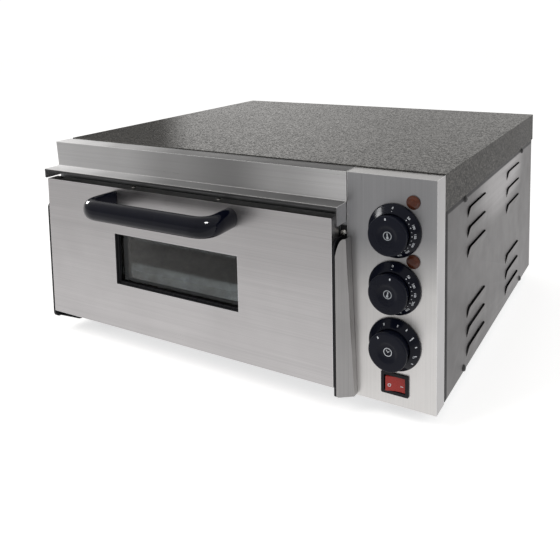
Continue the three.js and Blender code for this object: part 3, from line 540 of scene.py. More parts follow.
def shallow_group(name, face, keep):
    """Presses what stands out beyond |x| = face back to a share of its height, so the louvres stay low."""
    g = bpy.data.node_groups.new(name, "GeometryNodeTree")
    g.interface.new_socket("Geometry", in_out="INPUT", socket_type="NodeSocketGeometry")
    g.interface.new_socket("Geometry", in_out="OUTPUT", socket_type="NodeSocketGeometry")
    i, o = g.nodes.new("NodeGroupInput"), g.nodes.new("NodeGroupOutput")
    L = g.links.new

    def calc(op, a, b=None):
        n = g.nodes.new("ShaderNodeMath")
        n.operation = op
        for k, v in enumerate((a, b)):
            if isinstance(v, (int, float)):
                n.inputs[k].default_value = v
            elif v is not None:
                L(v, n.inputs[k])
        return n.outputs[0]

    sep, com = g.nodes.new("ShaderNodeSeparateXYZ"), g.nodes.new("ShaderNodeCombineXYZ")
    L(g.nodes.new("GeometryNodeInputPosition").outputs[0], sep.inputs[0])
    x = sep.outputs["X"]
    over = calc("MAXIMUM", calc("SUBTRACT", calc("ABSOLUTE", x), face), 0.0)
    L(calc("SUBTRACT", x, calc("MULTIPLY", calc("MULTIPLY", over, 1 - keep), calc("SIGN", x))), com.inputs["X"])
    L(sep.outputs["Y"], com.inputs["Y"])
    L(sep.outputs["Z"], com.inputs["Z"])
    sp = g.nodes.new("GeometryNodeSetPosition")
    L(i.outputs[0], sp.inputs["Geometry"])
    L(com.outputs[0], sp.inputs["Position"])
    L(sp.outputs[0], o.inputs[0])
    return g


# the louvres stand 5.2 mm proud of the side sheets
LOW_LOUVRES = shallow_group("low_louvres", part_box("right_side_panel")[1].x - 5.2 * MM, 0.5)


def dress(node, mat, bevel=0.0, seg=2, angle=40, flats=True):
    """Material plus clean-up by modifiers: weld, merge flat triangles, round the sharp edges."""
    o = NODES[node]
    o.data.materials.clear()
    o.data.materials.append(MATS[mat])
    o.modifiers.new("weld", "NODES").node_group = WELD
    if node in ("left_side_panel", "right_side_panel"):
        o.modifiers.new("louvres", "NODES").node_group = LOW_LOUVRES
    if flats:
        d = o.modifiers.new("flats", "DECIMATE")
        d.decimate_type, d.angle_limit = "DISSOLVE", math.radians(0.6)
    o.modifiers.new("smooth", "NODES").node_group = SMOOTH
    if bevel:
        b = o.modifiers.new("edges", "BEVEL")
        b.width, b.segments, b.limit_method, b.angle_limit = bevel * MM, seg, "ANGLE", math.radians(angle)
        b.use_clamp_overlap = True
        b.harden_normals = True
    return o


for n, mat, bev in (
    ("base_pan", "galvanised", 0.3), ("left_side_panel", "side_steel", 0.25), ("right_side_panel", "side_steel", 0.25),
    ("back_panel", "galvanised", 0.25), ("top_cover", "cover", 0.3), ("front_hood", "hood_steel", 0.35), ("control_panel", "panel_steel", 0.35),
    ("front_frame", "galvanised", 0.2), ("hinge_plate_left", "black_steel", 0.3), ("hinge_plate_right", "black_steel", 0.3),
    ("hinge_guard", "guard_steel", 0.3), ("hinge_pin_left", "zinc", 0.3), ("hinge_pin_right", "zinc", 0.3),
    ("chamber_liner", "liner", 0.3), ("baking_stone", "stone", 0.8), ("element_upper", "element", 0), ("element_lower", "element", 0),
    ("insulation_lower", "wool", 1.5), ("insulation_upper", "wool", 1.5), ("compartment_divider", "galvanised", 0.2),
    ("thermostat_upper", "ivory", 0.5), ("thermostat_lower", "ivory", 0.5), ("timer_body", "ivory", 0.5),
    ("thermostat_bulb_upper", "brass", 0), ("thermostat_bulb_lower", "brass", 0), ("terminal_block", "ivory", 0.4),
    ("door_skin", "door_steel", 0.35), ("door_inner_panel", "galvanised", 0.3), ("window_trim", "black_steel", 0.3), ("door_glass", "glass", 0.5),
    ("switch_housing", "matte_black", 0.35), ("switch_rocker", "red", 0.5),
):
    dress(n, mat, bev)


# ------------------------------------------------------------------ mesh helpers
def finish_mesh(name, bm, mat, body, replaces=(), angle=34, smooth=True):
    bmesh.ops.remove_doubles(bm, verts=bm.verts, dist=1e-7)
    bmesh.ops.recalc_face_normals(bm, faces=bm.faces)
    me = bpy.data.meshes.new(name)
    bm.to_mesh(me)
    bm.free()
    ob = bpy.data.objects.new(name, me)
    scene.collection.objects.link(ob)
    me.materials.append(MATS[mat])
    if smooth:
        me.polygons.foreach_set("use_smooth", [True] * len(me.polygons))
        me.set_sharp_from_angle(angle=math.radians(angle))
    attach(ob, body)
    if replaces:
        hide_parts(*replaces)
    return ob


def ring_frame(axis):
    """Two vectors across the axis."""
    a = Vector(axis).normalized()
    u = Vector((0, 0, 1)) if abs(a.z) < 0.9 else Vector((1, 0, 0))
    u = (u - a * u.dot(a)).normalized()
    return a, u, a.cross(u)


def soften(prof, r, steps=3):
    """Rounds the corners of an open [radius, along] profile with small arcs, all in mm."""
    out = [prof[0]]
    for i in range(1, len(prof) - 1):
        p, a, b = (Vector(q).to_2d() if len(q) > 2 else Vector((q[0], q[1])) for q in (prof[i], prof[i - 1], prof[i + 1]))
        da, db = (a - p), (b - p)
        k = min(r, da.length * 0.45, db.length * 0.45)
        if k < 1e-3 or da.length < 1e-6 or db.length < 1e-6 or abs(da.normalized().dot(db.normalized())) > 0.995:
            out.append((p.x, p.y))
            continue
        s, e = p + da.normalized() * k, p + db.normalized() * k
        for j in range(steps + 1):
            t = j / steps
            q = s * (1 - t) ** 2 + p * 2 * t * (1 - t) + e * t * t
            out.append((q.x, q.y))
    out.append(prof[-1])
    return out


def lathe(name, prof, centre, axis, mat, body, seg=96, replaces=(), closed=False, angle=34):
    """prof: [radius, distance along axis] in mm from centre (metres)."""
    a, u, v = ring_frame(axis)
    c = Vector(centre)
    bm = bmesh.new()
    rows = []
    for r, d in prof:
        base = c + a * (d * MM)
        if r < 1e-4:
            rows.append([bm.verts.new(base)])
        else:
            rows.append([bm.verts.new(base + (u * math.cos(t) + v * math.sin(t)) * (r * MM)) for t in (2 * math.pi * i / seg for i in range(seg))])
    pairs = list(zip(rows, rows[1:])) + ([(rows[-1], rows[0])] if closed else [])
    for p, q in pairs:
        for i in range(seg):
            j = (i + 1) % seg
            if len(p) == 1 and len(q) == 1:
                continue
            if len(p) == 1:
                bm.faces.new((p[0], q[j], q[i]))
            elif len(q) == 1:
                bm.faces.new((p[i], p[j], q[0]))
            else:
                bm.faces.new((p[i], p[j], q[j], q[i]))
    return finish_mesh(name, bm, mat, body, replaces, angle)


def sweep(name, pts, section, up, mat, body, replaces=(), angle=50):
    """pts: centre line in metres; section: [(across, along up)] in mm, across = tangent x up."""
    bm = bmesh.new()
    up = Vector(up)
    rings = []
    for i, p in enumerate(pts):
        a, b = pts[max(i - 1, 0)], pts[min(i + 1, len(pts) - 1)]
        t = (b - a).normalized()
        side = t.cross(up).normalized()
        w = side.cross(t).normalized()
        rings.append([bm.verts.new(p + side * (s * MM) + w * (h * MM)) for s, h in section])
    n = len(section)
    for p, q in zip(rings, rings[1:]):
        for i in range(n):
            j = (i + 1) % n
            bm.faces.new((p[i], p[j], q[j], q[i]))
    bm.faces.new(rings[0])
    bm.faces.new(list(reversed(rings[-1])))
    return finish_mesh(name, bm, mat, body, replaces, angle)


def rounded_path(pts, r, steps=18, straight=6):
    """Straight runs joined by smooth bends (mm in, metres out)."""
    v = [Vector(p) for p in pts]
    out = [v[0]]
    at = v[0]
    for i in range(1, len(v) - 1):
        k = min(r, (v[i] - v[i - 1]).length / 2.01, (v[i] - v[i + 1]).length / 2.01)
        s = v[i] + (v[i - 1] - v[i]).normalized() * k
        e = v[i] + (v[i + 1] - v[i]).normalized() * k
        for j in range(1, straight):
            out.append(at.lerp(s, j / straight))
        for j in range(steps + 1):
            t = j / steps
            out.append(s * (1 - t) ** 2 + v[i] * 2 * t * (1 - t) + e * t * t)
        at = e
    for j in range(1, straight + 1):
        out.append(at.lerp(v[-1], j / straight))
    return [p * MM for p in out]


def mid(node):
    lo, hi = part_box(node)
    return (lo + hi) / 2


# ------------------------------------------------------------------ door handle
def handle():
    lo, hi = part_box("door_handle")
    zc = (lo.z + hi.z) / 2 / MM
    tall, thick = (hi.z - lo.z) / MM, 15.0
    y0, y1 = hi.y / MM, lo.y / MM + thick / 2
    # the legs are the screw axes
    xl, xr = mid("handle_screw_left").x / MM, mid("handle_screw_right").x / MM
    a, b = tall / 2, thick
    sec = []
    N = 40
    for i in range(N + 1):
        t = -math.pi / 2 + math.pi * i / N
        sec.append((-b / 2 + 2.2 + (b - 2.2) * max(math.cos(t), 0) ** 0.75, a * math.sin(t)))
    # flat inner face with rounded corners
    for j in range(1, 6):
        t = j / 6
        sec.append((-b / 2 + 2.2 - 2.2 * math.sin(t * math.pi / 2), a - 3.2 * (1 - math.cos(t * math.pi / 2))))
    sec += [(-b / 2, a - 3.2), (-b / 2, 0), (-b / 2, -a + 3.2)]
    for j in range(5, 0, -1):
        t = j / 6
        sec.append((-b / 2 + 2.2 - 2.2 * math.sin(t * math.pi / 2), -a + 3.2 * (1 - math.cos(t * math.pi / 2))))
    pts = rounded_path([(xl, y0, zc), (xl - 3, y1, zc), (xr + 3, y1, zc), (xr, y0, zc)], 27, 22)
    # the path runs left to right, so across points to the outside (towards -y on the bar)
    o = sweep("handle_bar", pts, sec, (0, 0, 1), "gloss_black", "door", ("door_handle",), 60)
    return o


handle()


# ------------------------------------------------------------------ dials and knobs
def text_mesh(bm, s, size, origin, right, up, lift=0.00004, thick=0.00003):
    cu = bpy.data.curves.new("t", "FONT")
    cu.body, cu.size, cu.align_x, cu.align_y, cu.extrude = s, size * MM, "CENTER", "CENTER", thick
    cu.resolution_u = 4
    cu.offset = size * MM * 0.008
    ob = bpy.data.objects.new("t", cu)
    scene.collection.objects.link(ob)
    bpy.context.view_layer.update()
    me = bpy.data.meshes.new_from_object(ob.evaluated_get(bpy.context.evaluated_depsgraph_get()))
    r, u = Vector(right).normalized(), Vector(up).normalized()
    nrm = r.cross(u)
    mat = Matrix((r.to_4d(), u.to_4d(), nrm.to_4d(), (0, 0, 0, 1))).transposed()
    for i in range(3):
        mat[3][i] = 0
    mat.translation = Vector(origin) + nrm * lift
    mat[3][3] = 1
    me.transform(mat)
    bm.from_mesh(me)
    bpy.data.objects.remove(ob)
    bpy.data.curves.remove(cu)
    bpy.data.meshes.remove(me)


def plate(bm, origin, right, up, outline, thick=0.00003, lift=0.00004):
    """A thin printed patch; outline in mm in the (right, up) plane."""
    r, u = Vector(right).normalized(), Vector(up).normalized()
    nrm = r.cross(u)
    o = Vector(origin) + nrm * lift
    top = [bm.verts.new(o + r * (x * MM) + u * (y * MM) + nrm * thick) for x, y in outline]
    bot = [bm.verts.new(o + r * (x * MM) + u * (y * MM) - nrm * thick) for x, y in outline]
    bm.faces.new(top)
    bm.faces.new(list(reversed(bot)))
    n = len(outline)
    for i in range(n):
        j = (i + 1) % n
        bm.faces.new((top[j], top[i], bot[i], bot[j]))


def disc(r, n=20, x=0, y=0):
    return [(x + r * math.cos(2 * math.pi * i / n), y + r * math.sin(2 * math.pi * i / n)) for i in range(n)]


def annulus(bm, origin, right, up, r0, r1, n=40, thick=0.00003, lift=0.00004, a0=0.0, a1=2 * math.pi):
    r, u = Vector(right).normalized(), Vector(up).normalized()
    nrm = r.cross(u)
    o = Vector(origin) + nrm * lift
    full = abs(a1 - a0 - 2 * math.pi) < 1e-6
    cols = []
    for i in range(n if full else n + 1):
        t = a0 + (a1 - a0) * i / n
        d = r * math.cos(t) + u * math.sin(t)
        cols.append([bm.verts.new(o + d * (q * MM) + nrm * h) for q, h in ((r0, thick), (r1, thick), (r1, -thick), (r0, -thick))])
    m = len(cols)
    for i in range(m if full else m - 1):
        a, b = cols[i], cols[(i + 1) % m]
        for k in range(4):
            l = (k + 1) % 4
            bm.faces.new((a[k], a[l], b[l], b[k]))
    if not full:
        bm.faces.new(cols[0])
        bm.faces.new(list(reversed(cols[-1])))


DIAL_R = 30.0
# front of the dial's cone, from its rim to its inner edge: [radius, distance forward of the panel]
CONE = ((29.1, 3.5), (22.3, 10.3))


def cone_at(radius):
    (ra, ya), (rb, yb) = CONE
    return ya + (ra - radius) / (ra - rb) * (yb - ya)


def on_cone(centre, front0, radius, deg):
    """A point on the cone and its right and up directions, deg clockwise from the top as seen from the front."""
    t = math.radians(deg)
    out = Vector((math.sin(t), 0, math.cos(t)))
    p = Vector((centre.x, front0 - cone_at(radius) * MM, centre.z)) + out * (radius * MM)
    right = Vector((math.cos(t), 0, -math.sin(t)))
    up = (Vector((0, 1, 0)) + out).normalized()
    return p, right, up


def dial(tag, numbers, dots, ticks):
    node = f"dial_{tag}"
    lo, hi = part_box(node)
    c = (lo + hi) / 2
    panel_y = hi.y + 0.3 * MM          # the dial stands 0.3 mm off the panel
    prof = [(6.2, 0.3), (29.5, 0.3), (30, 0.8), (30, 2.3), (29.1, 3.5), (22.3, 10.3), (21.5, 10.8), (20.7, 10.8), (20.3, 10.3), (20.3, 3.2), (6.2, 3.2)]
    soft = soften(prof[1:-1], 0.5, 3)
    lathe(f"{node}_moulding", [prof[0]] + soft + [prof[-1]], (c.x, panel_y, c.z), (0, -1, 0), "gloss_dial", "case", 144, (node,), closed=True)
    bm = bmesh.new()
    for deg, s, size, r in numbers:
        p, right, up = on_cone(c, panel_y, r, deg)
        text_mesh(bm, s, size, p, right, up)
    for deg, r, w in dots:
        p, right, up = on_cone(c, panel_y, r, deg)
        plate(bm, p, right, up, disc(w, 14))
    for deg, r0, r1, w in ticks:
        p, right, up = on_cone(c, panel_y, (r0 + r1) / 2, deg)
        h = (r1 - r0) / 2 * 1.41
        plate(bm, p, right, up, [(-w, -h), (w, -h), (w, h), (-w, h)])
    finish_mesh(f"{node}_print", bm, "white_print", "case", smooth=False)


MATS["gloss_dial"] = plastic("dial_black_plastic", (0.0028, 0.0035, 0.0078), (0.15, 0.22), bump=0.025, spec=0.17, wear_and_glint=(0.03, 0.032, 0.042))

heat_numbers = [(0, "0", 3.6, 26.3)] + [(46 + 23 * i, str(50 * (i + 1)), 3.6, 25.3) for i in range(6)]
heat_dots = [(0, 23.4, 0.4)] + [(46 + 11.6 * i, 22.85, 0.55 if i % 2 == 0 else 0.4) for i in range(12)]
dial("upper_heat", heat_numbers, heat_dots, [])
dial("lower_heat", heat_numbers, heat_dots, [])
timer_ticks = [(36 + 22.2 * i, 25.6, 27.4, 0.55) for i in range(5)]
dial("timer", [(13.5, "5", 3.6, 25.2), (104, "15", 3.4, 24.9), (-23, "0", 3.6, 25.2)], [], timer_ticks + [(59.5, 23.4, 26.0, 0.4)])


def knob(tag, body, turn):
    node = f"knob_{tag}"
    lo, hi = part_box(node)
    c = (lo + hi) / 2
    tip = lo.y                                     # the pointer pip stands 0.35 mm proud of the face
    face = tip + 0.35 * MM
    # distance forward of the panel, in mm, from the cap's back to its dished centre
    panel_y = face + 24 * MM
    prof = [(0, -11), (3, -11), (3, 4.6), (18.6, 4.6), (19.3, 5.4), (19.5, 11), (20.3, 16), (22.0, 21), (22.0, 22.4), (21.5, 23.5), (20.4, 24), (11.8, 24),
            (10.6, 23.5), (8.6, 22.3), (7, 21.9), (0, 21.8)]
    body_prof = [prof[0], prof[1]] + soften(prof[1:-1], 0.9, 4)[1:] + [prof[-1]]
    lathe(f"{node}_cap", body_prof, (c.x, panel_y, c.z), (0, -1, 0), "knob_black", body, 144, (node,), angle=28)
    # pointer dot and centre symbol
    t = math.radians(turn)
    out, right = Vector((math.sin(t), 0, math.cos(t))), Vector((math.cos(t), 0, -math.sin(t)))
    up = out
    at = Vector((c.x, face, c.z)) + out * (18.3 * MM)
    bm = bmesh.new()
    if tag == "timer":
        plate(bm, at, right, up, [(-0.95, -1.2), (0.95, -1.2), (0.35, 1.4), (-0.35, 1.4)], 0.0001)
    else:
        plate(bm, at, right, up, [(-0.55, -1.1), (0.55, -1.1), (0.85, 0.9), (0.3, 1.3), (-0.3, 1.3), (-0.85, 0.9)], 0.0001)
    finish_mesh(f"{node}_pointer", bm, "white_print", body, smooth=False)
    bm = bmesh.new()
    dish = Vector((c.x, panel_y - 21.8 * MM, c.z))
    annulus(bm, dish, right, up, 4.0, 4.75, 48)
    if tag == "timer":          # clock hands
        plate(bm, dish, right, up, [(-0.35, -0.35), (2.4, -0.35), (2.4, 0.35), (-0.35, 0.35)])
        plate(bm, dish, right, up, [(-0.35, 0.4), (0.35, 0.4), (0.35, 2.9), (-0.35, 2.9)])
    else:                       # thermometer
        plate(bm, dish, right, up, [(-0.65, -1.2), (0.65, -1.2), (0.65, 2.6), (0.35, 3.0), (-0.35, 3.0), (-0.65, 2.6)])
        plate(bm, dish, right, up, disc(1.35, 20, 0, -1.9), lift=0.00005)
    finish_mesh(f"{node}_symbol", bm, "grey_print" if tag != "timer" else "white_print", body, smooth=False)


for tag, body, turn in (("upper_heat", "upper_knob", -5), ("lower_heat", "lower_knob", 11), ("timer", "timer_knob", -34)):
    knob(tag, body, turn)


# ------------------------------------------------------------------ pilot lamps
for tag in ("upper", "lower"):
    node = f"pilot_lamp_{tag}"
    lo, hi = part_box(node)
    c = (lo + hi) / 2
    front = lo.y + 4.5 * MM      # panel face
    prof = [(0, -26), (5.6, -26), (5.9, 0.3), (7.6, 0.3), (7.6, 1.5), (7.2, 2.1), (6.3, 2.3), (6.1, 2.6), (5.2, 3.7), (3.6, 4.25), (1.8, 4.45), (0, 4.5)]
    lathe(f"{node}_lens", soften(prof, 0.35, 2), (c.x, front, c.z), (0, -1, 0), "amber", "case", 64, (node,))


# ------------------------------------------------------------------ rocker marks
def rocker_marks():
    c = mid("switch_housing")
    lo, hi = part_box("switch_housing")
    px, py, pz = c.x, lo.y + 2.2 * MM + 3 * MM, c.z      # pivot: 3 mm behind the panel face
    a = math.radians(10)
    ex, ey = Vector((math.cos(a), math.sin(a), 0)), Vector((-math.sin(a), math.cos(a), 0))

    def at(u, v, z):
        return Vector((px, py, 0)) + ex * (u * MM) + ey * (v * MM) + Vector((0, 0, pz + z * MM))

    bm = bmesh.new()
    # left wing, between (-11, -5.9) and (-5.5, -4.6): its own right direction
    d1 = (at(-5.5, -4.6, 0) - at(-11, -5.9, 0)).normalized()
    o = at(-6.6, -4.86, -1.6)
    annulus(bm, o, d1, (0, 0, 1), 1.15, 1.9, 28, lift=0.00006)
    d2 = (at(11, -5.9, 0) - at(5.5, -4.6, 0)).normalized()
    o = at(7.2, -5.0, -1.6)
    plate(bm, o, d2, (0, 0, 1), [(-1.6, -0.4), (1.6, -0.4), (1.6, 0.4), (-1.6, 0.4)], lift=0.00006)
    finish_mesh("switch_rocker_print", bm, "white_print", "rocker", smooth=False)


rocker_marks()


# ------------------------------------------------------------------ screws
def screw(node, out, r_head, h_head, mat, body, shank_r, shank_len, cross=True, dome=0.35, seg=40, turn=20):
    """A pan-head screw rebuilt with a real cross recess. out: the direction the head faces."""
    lo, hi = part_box(node)
    c = (lo + hi) / 2
    a = Vector(out)
    k = max(range(3), key=lambda i: abs(a[i]))
    tip = hi[k] if a[k] > 0 else lo[k]
    base = Vector(c)
    base[k] = tip - a[k] * h_head * MM
    ax, u, v = ring_frame(out)
    u2 = u * math.cos(math.radians(turn)) + v * math.sin(math.radians(turn))
    v2 = ax.cross(u2)
    # head built as a grid of rings, with a cross pressed into the crown
    prof = [(shank_r, -shank_len), (shank_r, 0), (r_head, 0)]
    n = 9
    for i in range(n + 1):
        t = i / n * math.pi / 2
        prof.append((r_head * math.cos(t) if i < n else 0.0, h_head * (1 - dome) * min(1, math.sin(t) * 1.25 if t < 0.9 else 1) + h_head * dome * math.sin(t)))
    bm = bmesh.new()
    rows = []
    for r, d in [(0, -shank_len)] + prof:
        p = base + a * (d * MM)
        if r < 1e-4:
            rows.append([bm.verts.new(p)])
        else:
            rows.append([bm.verts.new(p + (u2 * math.cos(t) + v2 * math.sin(t)) * (r * MM)) for t in (2 * math.pi * (i + 0.5) / seg for i in range(seg))])
    for p, q in zip(rows, rows[1:]):
        for i in range(seg):
            j = (i + 1) % seg
            if len(p) == 1:
                bm.faces.new((p[0], q[j], q[i]))
            elif len(q) == 1:
                bm.faces.new((p[i], p[j], q[0]))
            else:
                bm.faces.new((p[i], p[j], q[j], q[i]))
    head = finish_mesh(f"{node}_body", bm, mat, body, (node,), 40)
    if cross:
        bm = bmesh.new()
        w, l = r_head * 0.15, r_head * 0.62
        for d1, d2 in ((u2, v2), (v2, u2)):
            vs = []
            for top, s in ((0, 0.55), (1, 1.0)):
                for x, y in ((-1, -1), (1, -1), (1, 1), (-1, 1)):
                    off = a * ((h_head * 0.35 if not top else h_head + 1) * MM)
                    vs.append(bm.verts.new(base + off + d1 * (x * l * s * MM) + d2 * (y * w * s * MM)))
            b0, t0 = vs[:4], vs[4:]
            bm.faces.new(b0)
            bm.faces.new(list(reversed(t0)))
            for i in range(4):
                j = (i + 1) % 4
                bm.faces.new((b0[i], t0[i], t0[j], b0[j]))
        bmesh.ops.recalc_face_normals(bm, faces=bm.faces)
        me = bpy.data.meshes.new("cutter")
        bm.to_mesh(me)
        bm.free()
        cut = bpy.data.objects.new("cutter", me)
        scene.collection.objects.link(cut)
        md = head.modifiers.new("cross", "BOOLEAN")
        md.operation, md.object, md.solver = "DIFFERENCE", cut, "EXACT"
        md.use_self = True
        bpy.context.view_layer.update()
        new = bpy.data.meshes.new_from_object(head.evaluated_get(bpy.context.evaluated_depsgraph_get()))
        head.modifiers.clear()
        if len(new.polygons) > 50:
            head.data = new
            head.data.materials.clear()
            head.data.materials.append(MATS[mat])
            head.data.polygons.foreach_set("use_smooth", [True] * len(head.data.polygons))
            head.data.set_sharp_from_angle(angle=math.radians(34))
        bpy.data.objects.remove(cut)
    return head


for side, s in (("right", 1), ("left", -1)):
    for k, (fr, lh) in enumerate((("front", "low"), ("front", "high"), ("rear", "low"), ("rear", "high"))):
        screw(f"side_screw_{side}_{fr}_{lh}", (s, 0, 0), 4.1, 2.3, "dark_screw", "case", 1.6, 7.5, turn=12 + 37 * k)
screw("hinge_plate_screw", (0, -1, 0), 3.8, 2.4, "zinc", "case", 1.7, 4.4, turn=28)
for k, side in enumerate(("left", "right")):
    screw(f"door_top_screw_{side}", (0, 0, 1), 3.2, 1.8, "zinc", "door", 1.6, 8.2, turn=15 + 50 * k)
    screw(f"handle_screw_{side}", (0, 1, 0), 4.0, 2.9, "zinc", "door", 2.0, 14.6, turn=40 * k + 8)


# ------------------------------------------------------------------ feet, gland and cord
for fr in ("front", "rear"):
    for side in ("left", "right"):
        node = f"foot_{fr}_{side}"
        lo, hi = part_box(node)
        c = (lo + hi) / 2
        prof = [(0, 0), (4, 0), (4, 1.5), (8.5, 1.5), (8.5, 0), (12.5, 0), (13.5, 1.2), (16, 16.2), (15.2, 17.7), (3, 17.7), (3, 24.5), (0, 24.5)]
        lathe(f"{node}_rubber", soften(prof, 0.8, 3), (c.x, c.y, lo.z), (0, 0, 1), "rubber", "case", 72, (node,))

dress("cable_gland", "matte_black", 0.4)


def cord():
    lo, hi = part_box("power_cord")
    g = mid("cable_gland")
    x, z = g.x / MM, g.z / MM
    r = 3.4
    y_out, y_in, z_low = hi.y / MM - r, lo.y / MM, lo.z / MM
    pts = rounded_path([(x, y_in, z), (x, y_out, z), (x, y_out, z_low)], 15, 24)
    sec = [(r * math.cos(2 * math.pi * i / 28), r * math.sin(2 * math.pi * i / 28)) for i in range(28)]
    sweep("power_cord_sheath", pts, sec, (1, 0, 0), "rubber", "case", ("power_cord",), 60)


cord()


# ------------------------------------------------------------------ stage
def stage():
    bm = bmesh.new()
    bmesh.ops.create_circle(bm, cap_ends=True, radius=9.0, segments=96)
    me = bpy.data.meshes.new("floor")
    bm.to_mesh(me)
    bm.free()
    floor = bpy.data.objects.new("floor", me)
    scene.collection.objects.link(floor)
    floor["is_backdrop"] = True
    m = Mat("pale_floor")
    m.t.nodes.remove(m.b)
    lp = m.n("ShaderNodeLightPath")
    # what the camera sees: a near-white sweep with soft, light shadows
    seen = m.n("ShaderNodeBsdfDiffuse")
    seen.inputs["Color"].default_value = (0.80, 0.80, 0.80, 1)
    glow = m.n("ShaderNodeEmission")
    glow.inputs["Color"].default_value = (1, 1, 1, 1)
    glow.inputs["Strength"].default_value = 0.55
    add = m.n("ShaderNodeAddShader")
    m.link(seen.outputs[0], add.inputs[0])
    m.link(glow.outputs[0], add.inputs[1])
    # what the steel sees: a bright table that falls off into a darker room
    x, y, z = m.xyz()
    wob = m.mapr(m.noise(5, detail=3, rough=0.5), 0.3, 0.7, -0.06, 0.06)
    near = m.mapr(m.math("ADD", y, wob), -0.66, -0.56, 0, 1, smooth=True)
    left = m.mapr(x, -0.20, -0.60, 0, 1, smooth=True)
    rear = m.mapr(y, 0.25, 0.9, 0, 1, smooth=True)
    lit = m.math("MAXIMUM", near, m.math("MULTIPLY", left, 0.30))
    level = m.math("ADD", m.mapr(lit, 0, 1, 0.50, 0.82), m.math("MULTIPLY", rear, -0.12))
    room = m.n("ShaderNodeEmission")
    m.link(m.mix(1.0, level, (1.0, 0.985, 0.985), "MULTIPLY"), room.inputs["Color"])
    mix = m.n("ShaderNodeMixShader")
    m.link(lp.outputs["Is Camera Ray"], mix.inputs[0])
    m.link(room.outputs[0], mix.inputs[1])
    m.link(add.outputs[0], mix.inputs[2])
    m.link(mix.outputs[0], m.out.inputs["Surface"])
    me.materials.append(m.m)

    w = bpy.data.worlds.new("studio")
    scene.world = w
    w.use_nodes = True
    t = w.node_tree
    t.nodes.clear()
    out = t.nodes.new("ShaderNodeOutputWorld")
    lp = t.nodes.new("ShaderNodeLightPath")
    white = t.nodes.new("ShaderNodeBackground")
    white.inputs["Color"].default_value = (1, 1, 1, 1)
    white.inputs["Strength"].default_value = 1.05
    soft = t.nodes.new("ShaderNodeBackground")
    co = t.nodes.new("ShaderNodeTexCoord")
    sep = t.nodes.new("ShaderNodeSeparateXYZ")
    t.links.new(co.outputs["Generated"], sep.inputs[0])

    def calc(op, a, b=None, clamp=False):
        n = t.nodes.new("ShaderNodeMath")
        n.operation, n.use_clamp = op, clamp
        for i, v in enumerate((a, b)):
            if v is None:
                continue
            if isinstance(v, (int, float)):
                n.inputs[i].default_value = v
            else:
                t.links.new(v, n.inputs[i])
        return n.outputs[0]

    def step(v, a, b, c=0.0, d=1.0):
        n = t.nodes.new("ShaderNodeMapRange")
        n.interpolation_type = "SMOOTHSTEP"
        for k, q in zip(("From Min", "From Max", "To Min", "To Max"), (a, b, c, d)):
            n.inputs[k].default_value = q
        t.links.new(v, n.inputs["Value"])
        return n.outputs["Result"]

    X, Y, Z = sep.outputs
    # bright wall behind, a dark doorway behind to the left, a dimmer room in front, a mild ceiling
    wall = calc("MULTIPLY", step(Y, 0.0, 0.55), step(Z, 0.75, 0.30))
    turn = calc("DIVIDE", calc("MULTIPLY", X, -1.0), calc("MAXIMUM", Y, 0.02))
    wall = calc("MULTIPLY", wall, step(turn, 0.30, 0.65, 0.45, 1.0))
    door = calc("MULTIPLY", step(turn, 0.77, 0.86), step(turn, 1.50, 1.28))
    door = calc("MULTIPLY", door, step(Z, 0.55, 0.40))
    base = step(Z, -0.1, 1.0, 0.36, 0.62)
    level = calc("ADD", base, calc("MULTIPLY", wall, 0.50))
    level = calc("MULTIPLY", level, calc("SUBTRACT", 1.0, calc("MULTIPLY", door, 0.95)))
    comb = t.nodes.new("ShaderNodeCombineColor")
    for i, k in enumerate((1.0, 0.985, 0.965)):
        t.links.new(calc("MULTIPLY", level, k), comb.inputs[i])
    t.links.new(comb.outputs[0], soft.inputs["Color"])
    soft.inputs["Strength"].default_value = 1.0
    mix = t.nodes.new("ShaderNodeMixShader")
    t.links.new(lp.outputs["Is Camera Ray"], mix.inputs[0])
    t.links.new(soft.outputs[0], mix.inputs[1])
    t.links.new(white.outputs[0], mix.inputs[2])
    t.links.new(mix.outputs[0], out.inputs["Surface"])


stage()


def softbox(name, at, to, w, h, power, color=(1, 1, 1), shiny=False, matte=True, only=None, shade=None):
    """shiny: seen in reflections; matte: lights rough surfaces; only / shade: names of the objects it lights / that shade it."""
    li = bpy.data.lights.new(name, "AREA")
    li.shape, li.size, li.size_y, li.energy, li.color = "RECTANGLE", w, h, power, color
    ob = bpy.data.objects.new(name, li)
    scene.collection.objects.link(ob)
    ob.location = at
    ob.rotation_euler = (Vector(to) - Vector(at)).to_track_quat("-Z", "Y").to_euler()
    ob.visible_glossy, ob.visible_diffuse = shiny, matte
    if only:
        c = bpy.data.collections.new(name + "_receivers")
        for o in only:
            c.objects.link(bpy.data.objects[o])
        ob.light_linking.receiver_collection = c
    if shade:
        c = bpy.data.collections.new(name + "_blockers")
        for o in shade:
            c.objects.link(bpy.data.objects[o])
        ob.light_linking.blocker_collection = c
    return ob


softbox("key", (-1.1, -1.5, 1.7), (0, 0, 0.1), 1.3, 1.0, 22, (1.0, 0.985, 0.96))
softbox("fill", (1.9, -0.6, 1.2), (0, 0, 0.15), 1.2, 1.2, 10, (0.97, 0.985, 1.0))
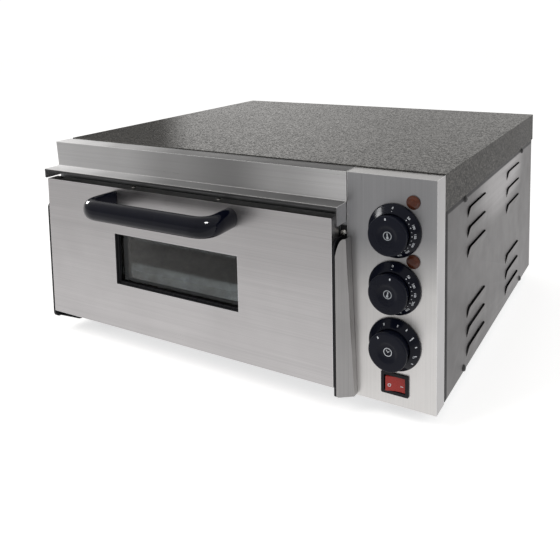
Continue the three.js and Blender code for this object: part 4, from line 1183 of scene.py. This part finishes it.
# small lights for the sparks on the glossy plastics
softbox("left_window", (-1.6, -0.12, 0.82), (0.2, -0.24, 0.23), 1.7, 1.1, 90, shiny=True, matte=False, only=["dial_upper_heat_moulding"])
softbox("left_spark", (-1.85, 0.15, 0.85), (-0.15, -0.3, 0.22), 0.6, 0.4, 22, shiny=True, matte=False, only=["handle_bar"])
softbox("right_lamp", (0.82, -0.82, 1.46), (0.02, -0.3, 0.22), 0.40, 0.40, 34, shiny=True, matte=False, only=["handle_bar"])
# daylight that falls through the door's window onto the stone
softbox("through_window", (0.60, -1.14, 1.13), (-0.057, -0.24, 0.13), 0.10, 0.10, 23, (0.46, 0.66, 1.0), only=["baking_stone"], shade=["door_skin", "window_trim"])


# ------------------------------------------------------------------ camera
def camera():
    yaw, pitch, roll = 0.5310593195779961, 0.10971704916417772, -0.019907685546306883
    f, cy = 686.4183497494638, 95.1777558513749          # in units of a 560 wide frame
    at = Vector((0.4929351, -0.9141928, 0.4467562))
    fwd = Vector((-math.sin(yaw) * math.cos(pitch), math.cos(yaw) * math.cos(pitch), -math.sin(pitch)))
    right = Vector((math.cos(yaw), math.sin(yaw), 0))
    up = right.cross(fwd)
    r = right * math.cos(roll) + up * math.sin(roll)
    u = -right * math.sin(roll) + up * math.cos(roll)
    data = bpy.data.cameras.new("camera")
    cam = bpy.data.objects.new("camera", data)
    scene.collection.objects.link(cam)
    m = Matrix((r, u, -fwd)).transposed().to_4x4()
    m.translation = at
    cam.matrix_world = m
    data.sensor_fit, data.sensor_width = "HORIZONTAL", 36.0
    data.lens = f / 560 * 36.0
    data.clip_start, data.clip_end = 0.01, 60
    shift = (cy - 280) / 560
    data.shift_y = shift
    # the picture is shifted only while the camera stands at its own place; other views are centred
    fc = data.driver_add("shift_y")
    fc.driver.type = "SCRIPTED"
    for axis in "XYZ":
        v = fc.driver.variables.new()
        v.name, v.type = axis.lower(), "TRANSFORMS"
        v.targets[0].id = cam
        v.targets[0].transform_type = "LOC_" + axis
        v.targets[0].transform_space = "WORLD_SPACE"
    fc.driver.expression = f"{shift:.6f} if abs(x - {at.x:.5f}) + abs(y - {at.y:.5f}) + abs(z - {at.z:.5f}) < 0.002 else 0"
    scene.camera = cam


camera()
scene.view_settings.view_transform = "Standard"
scene.view_settings.look = "None"
scene.view_settings.exposure = 0.0

bpy.context.view_layer.update()
lo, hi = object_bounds()
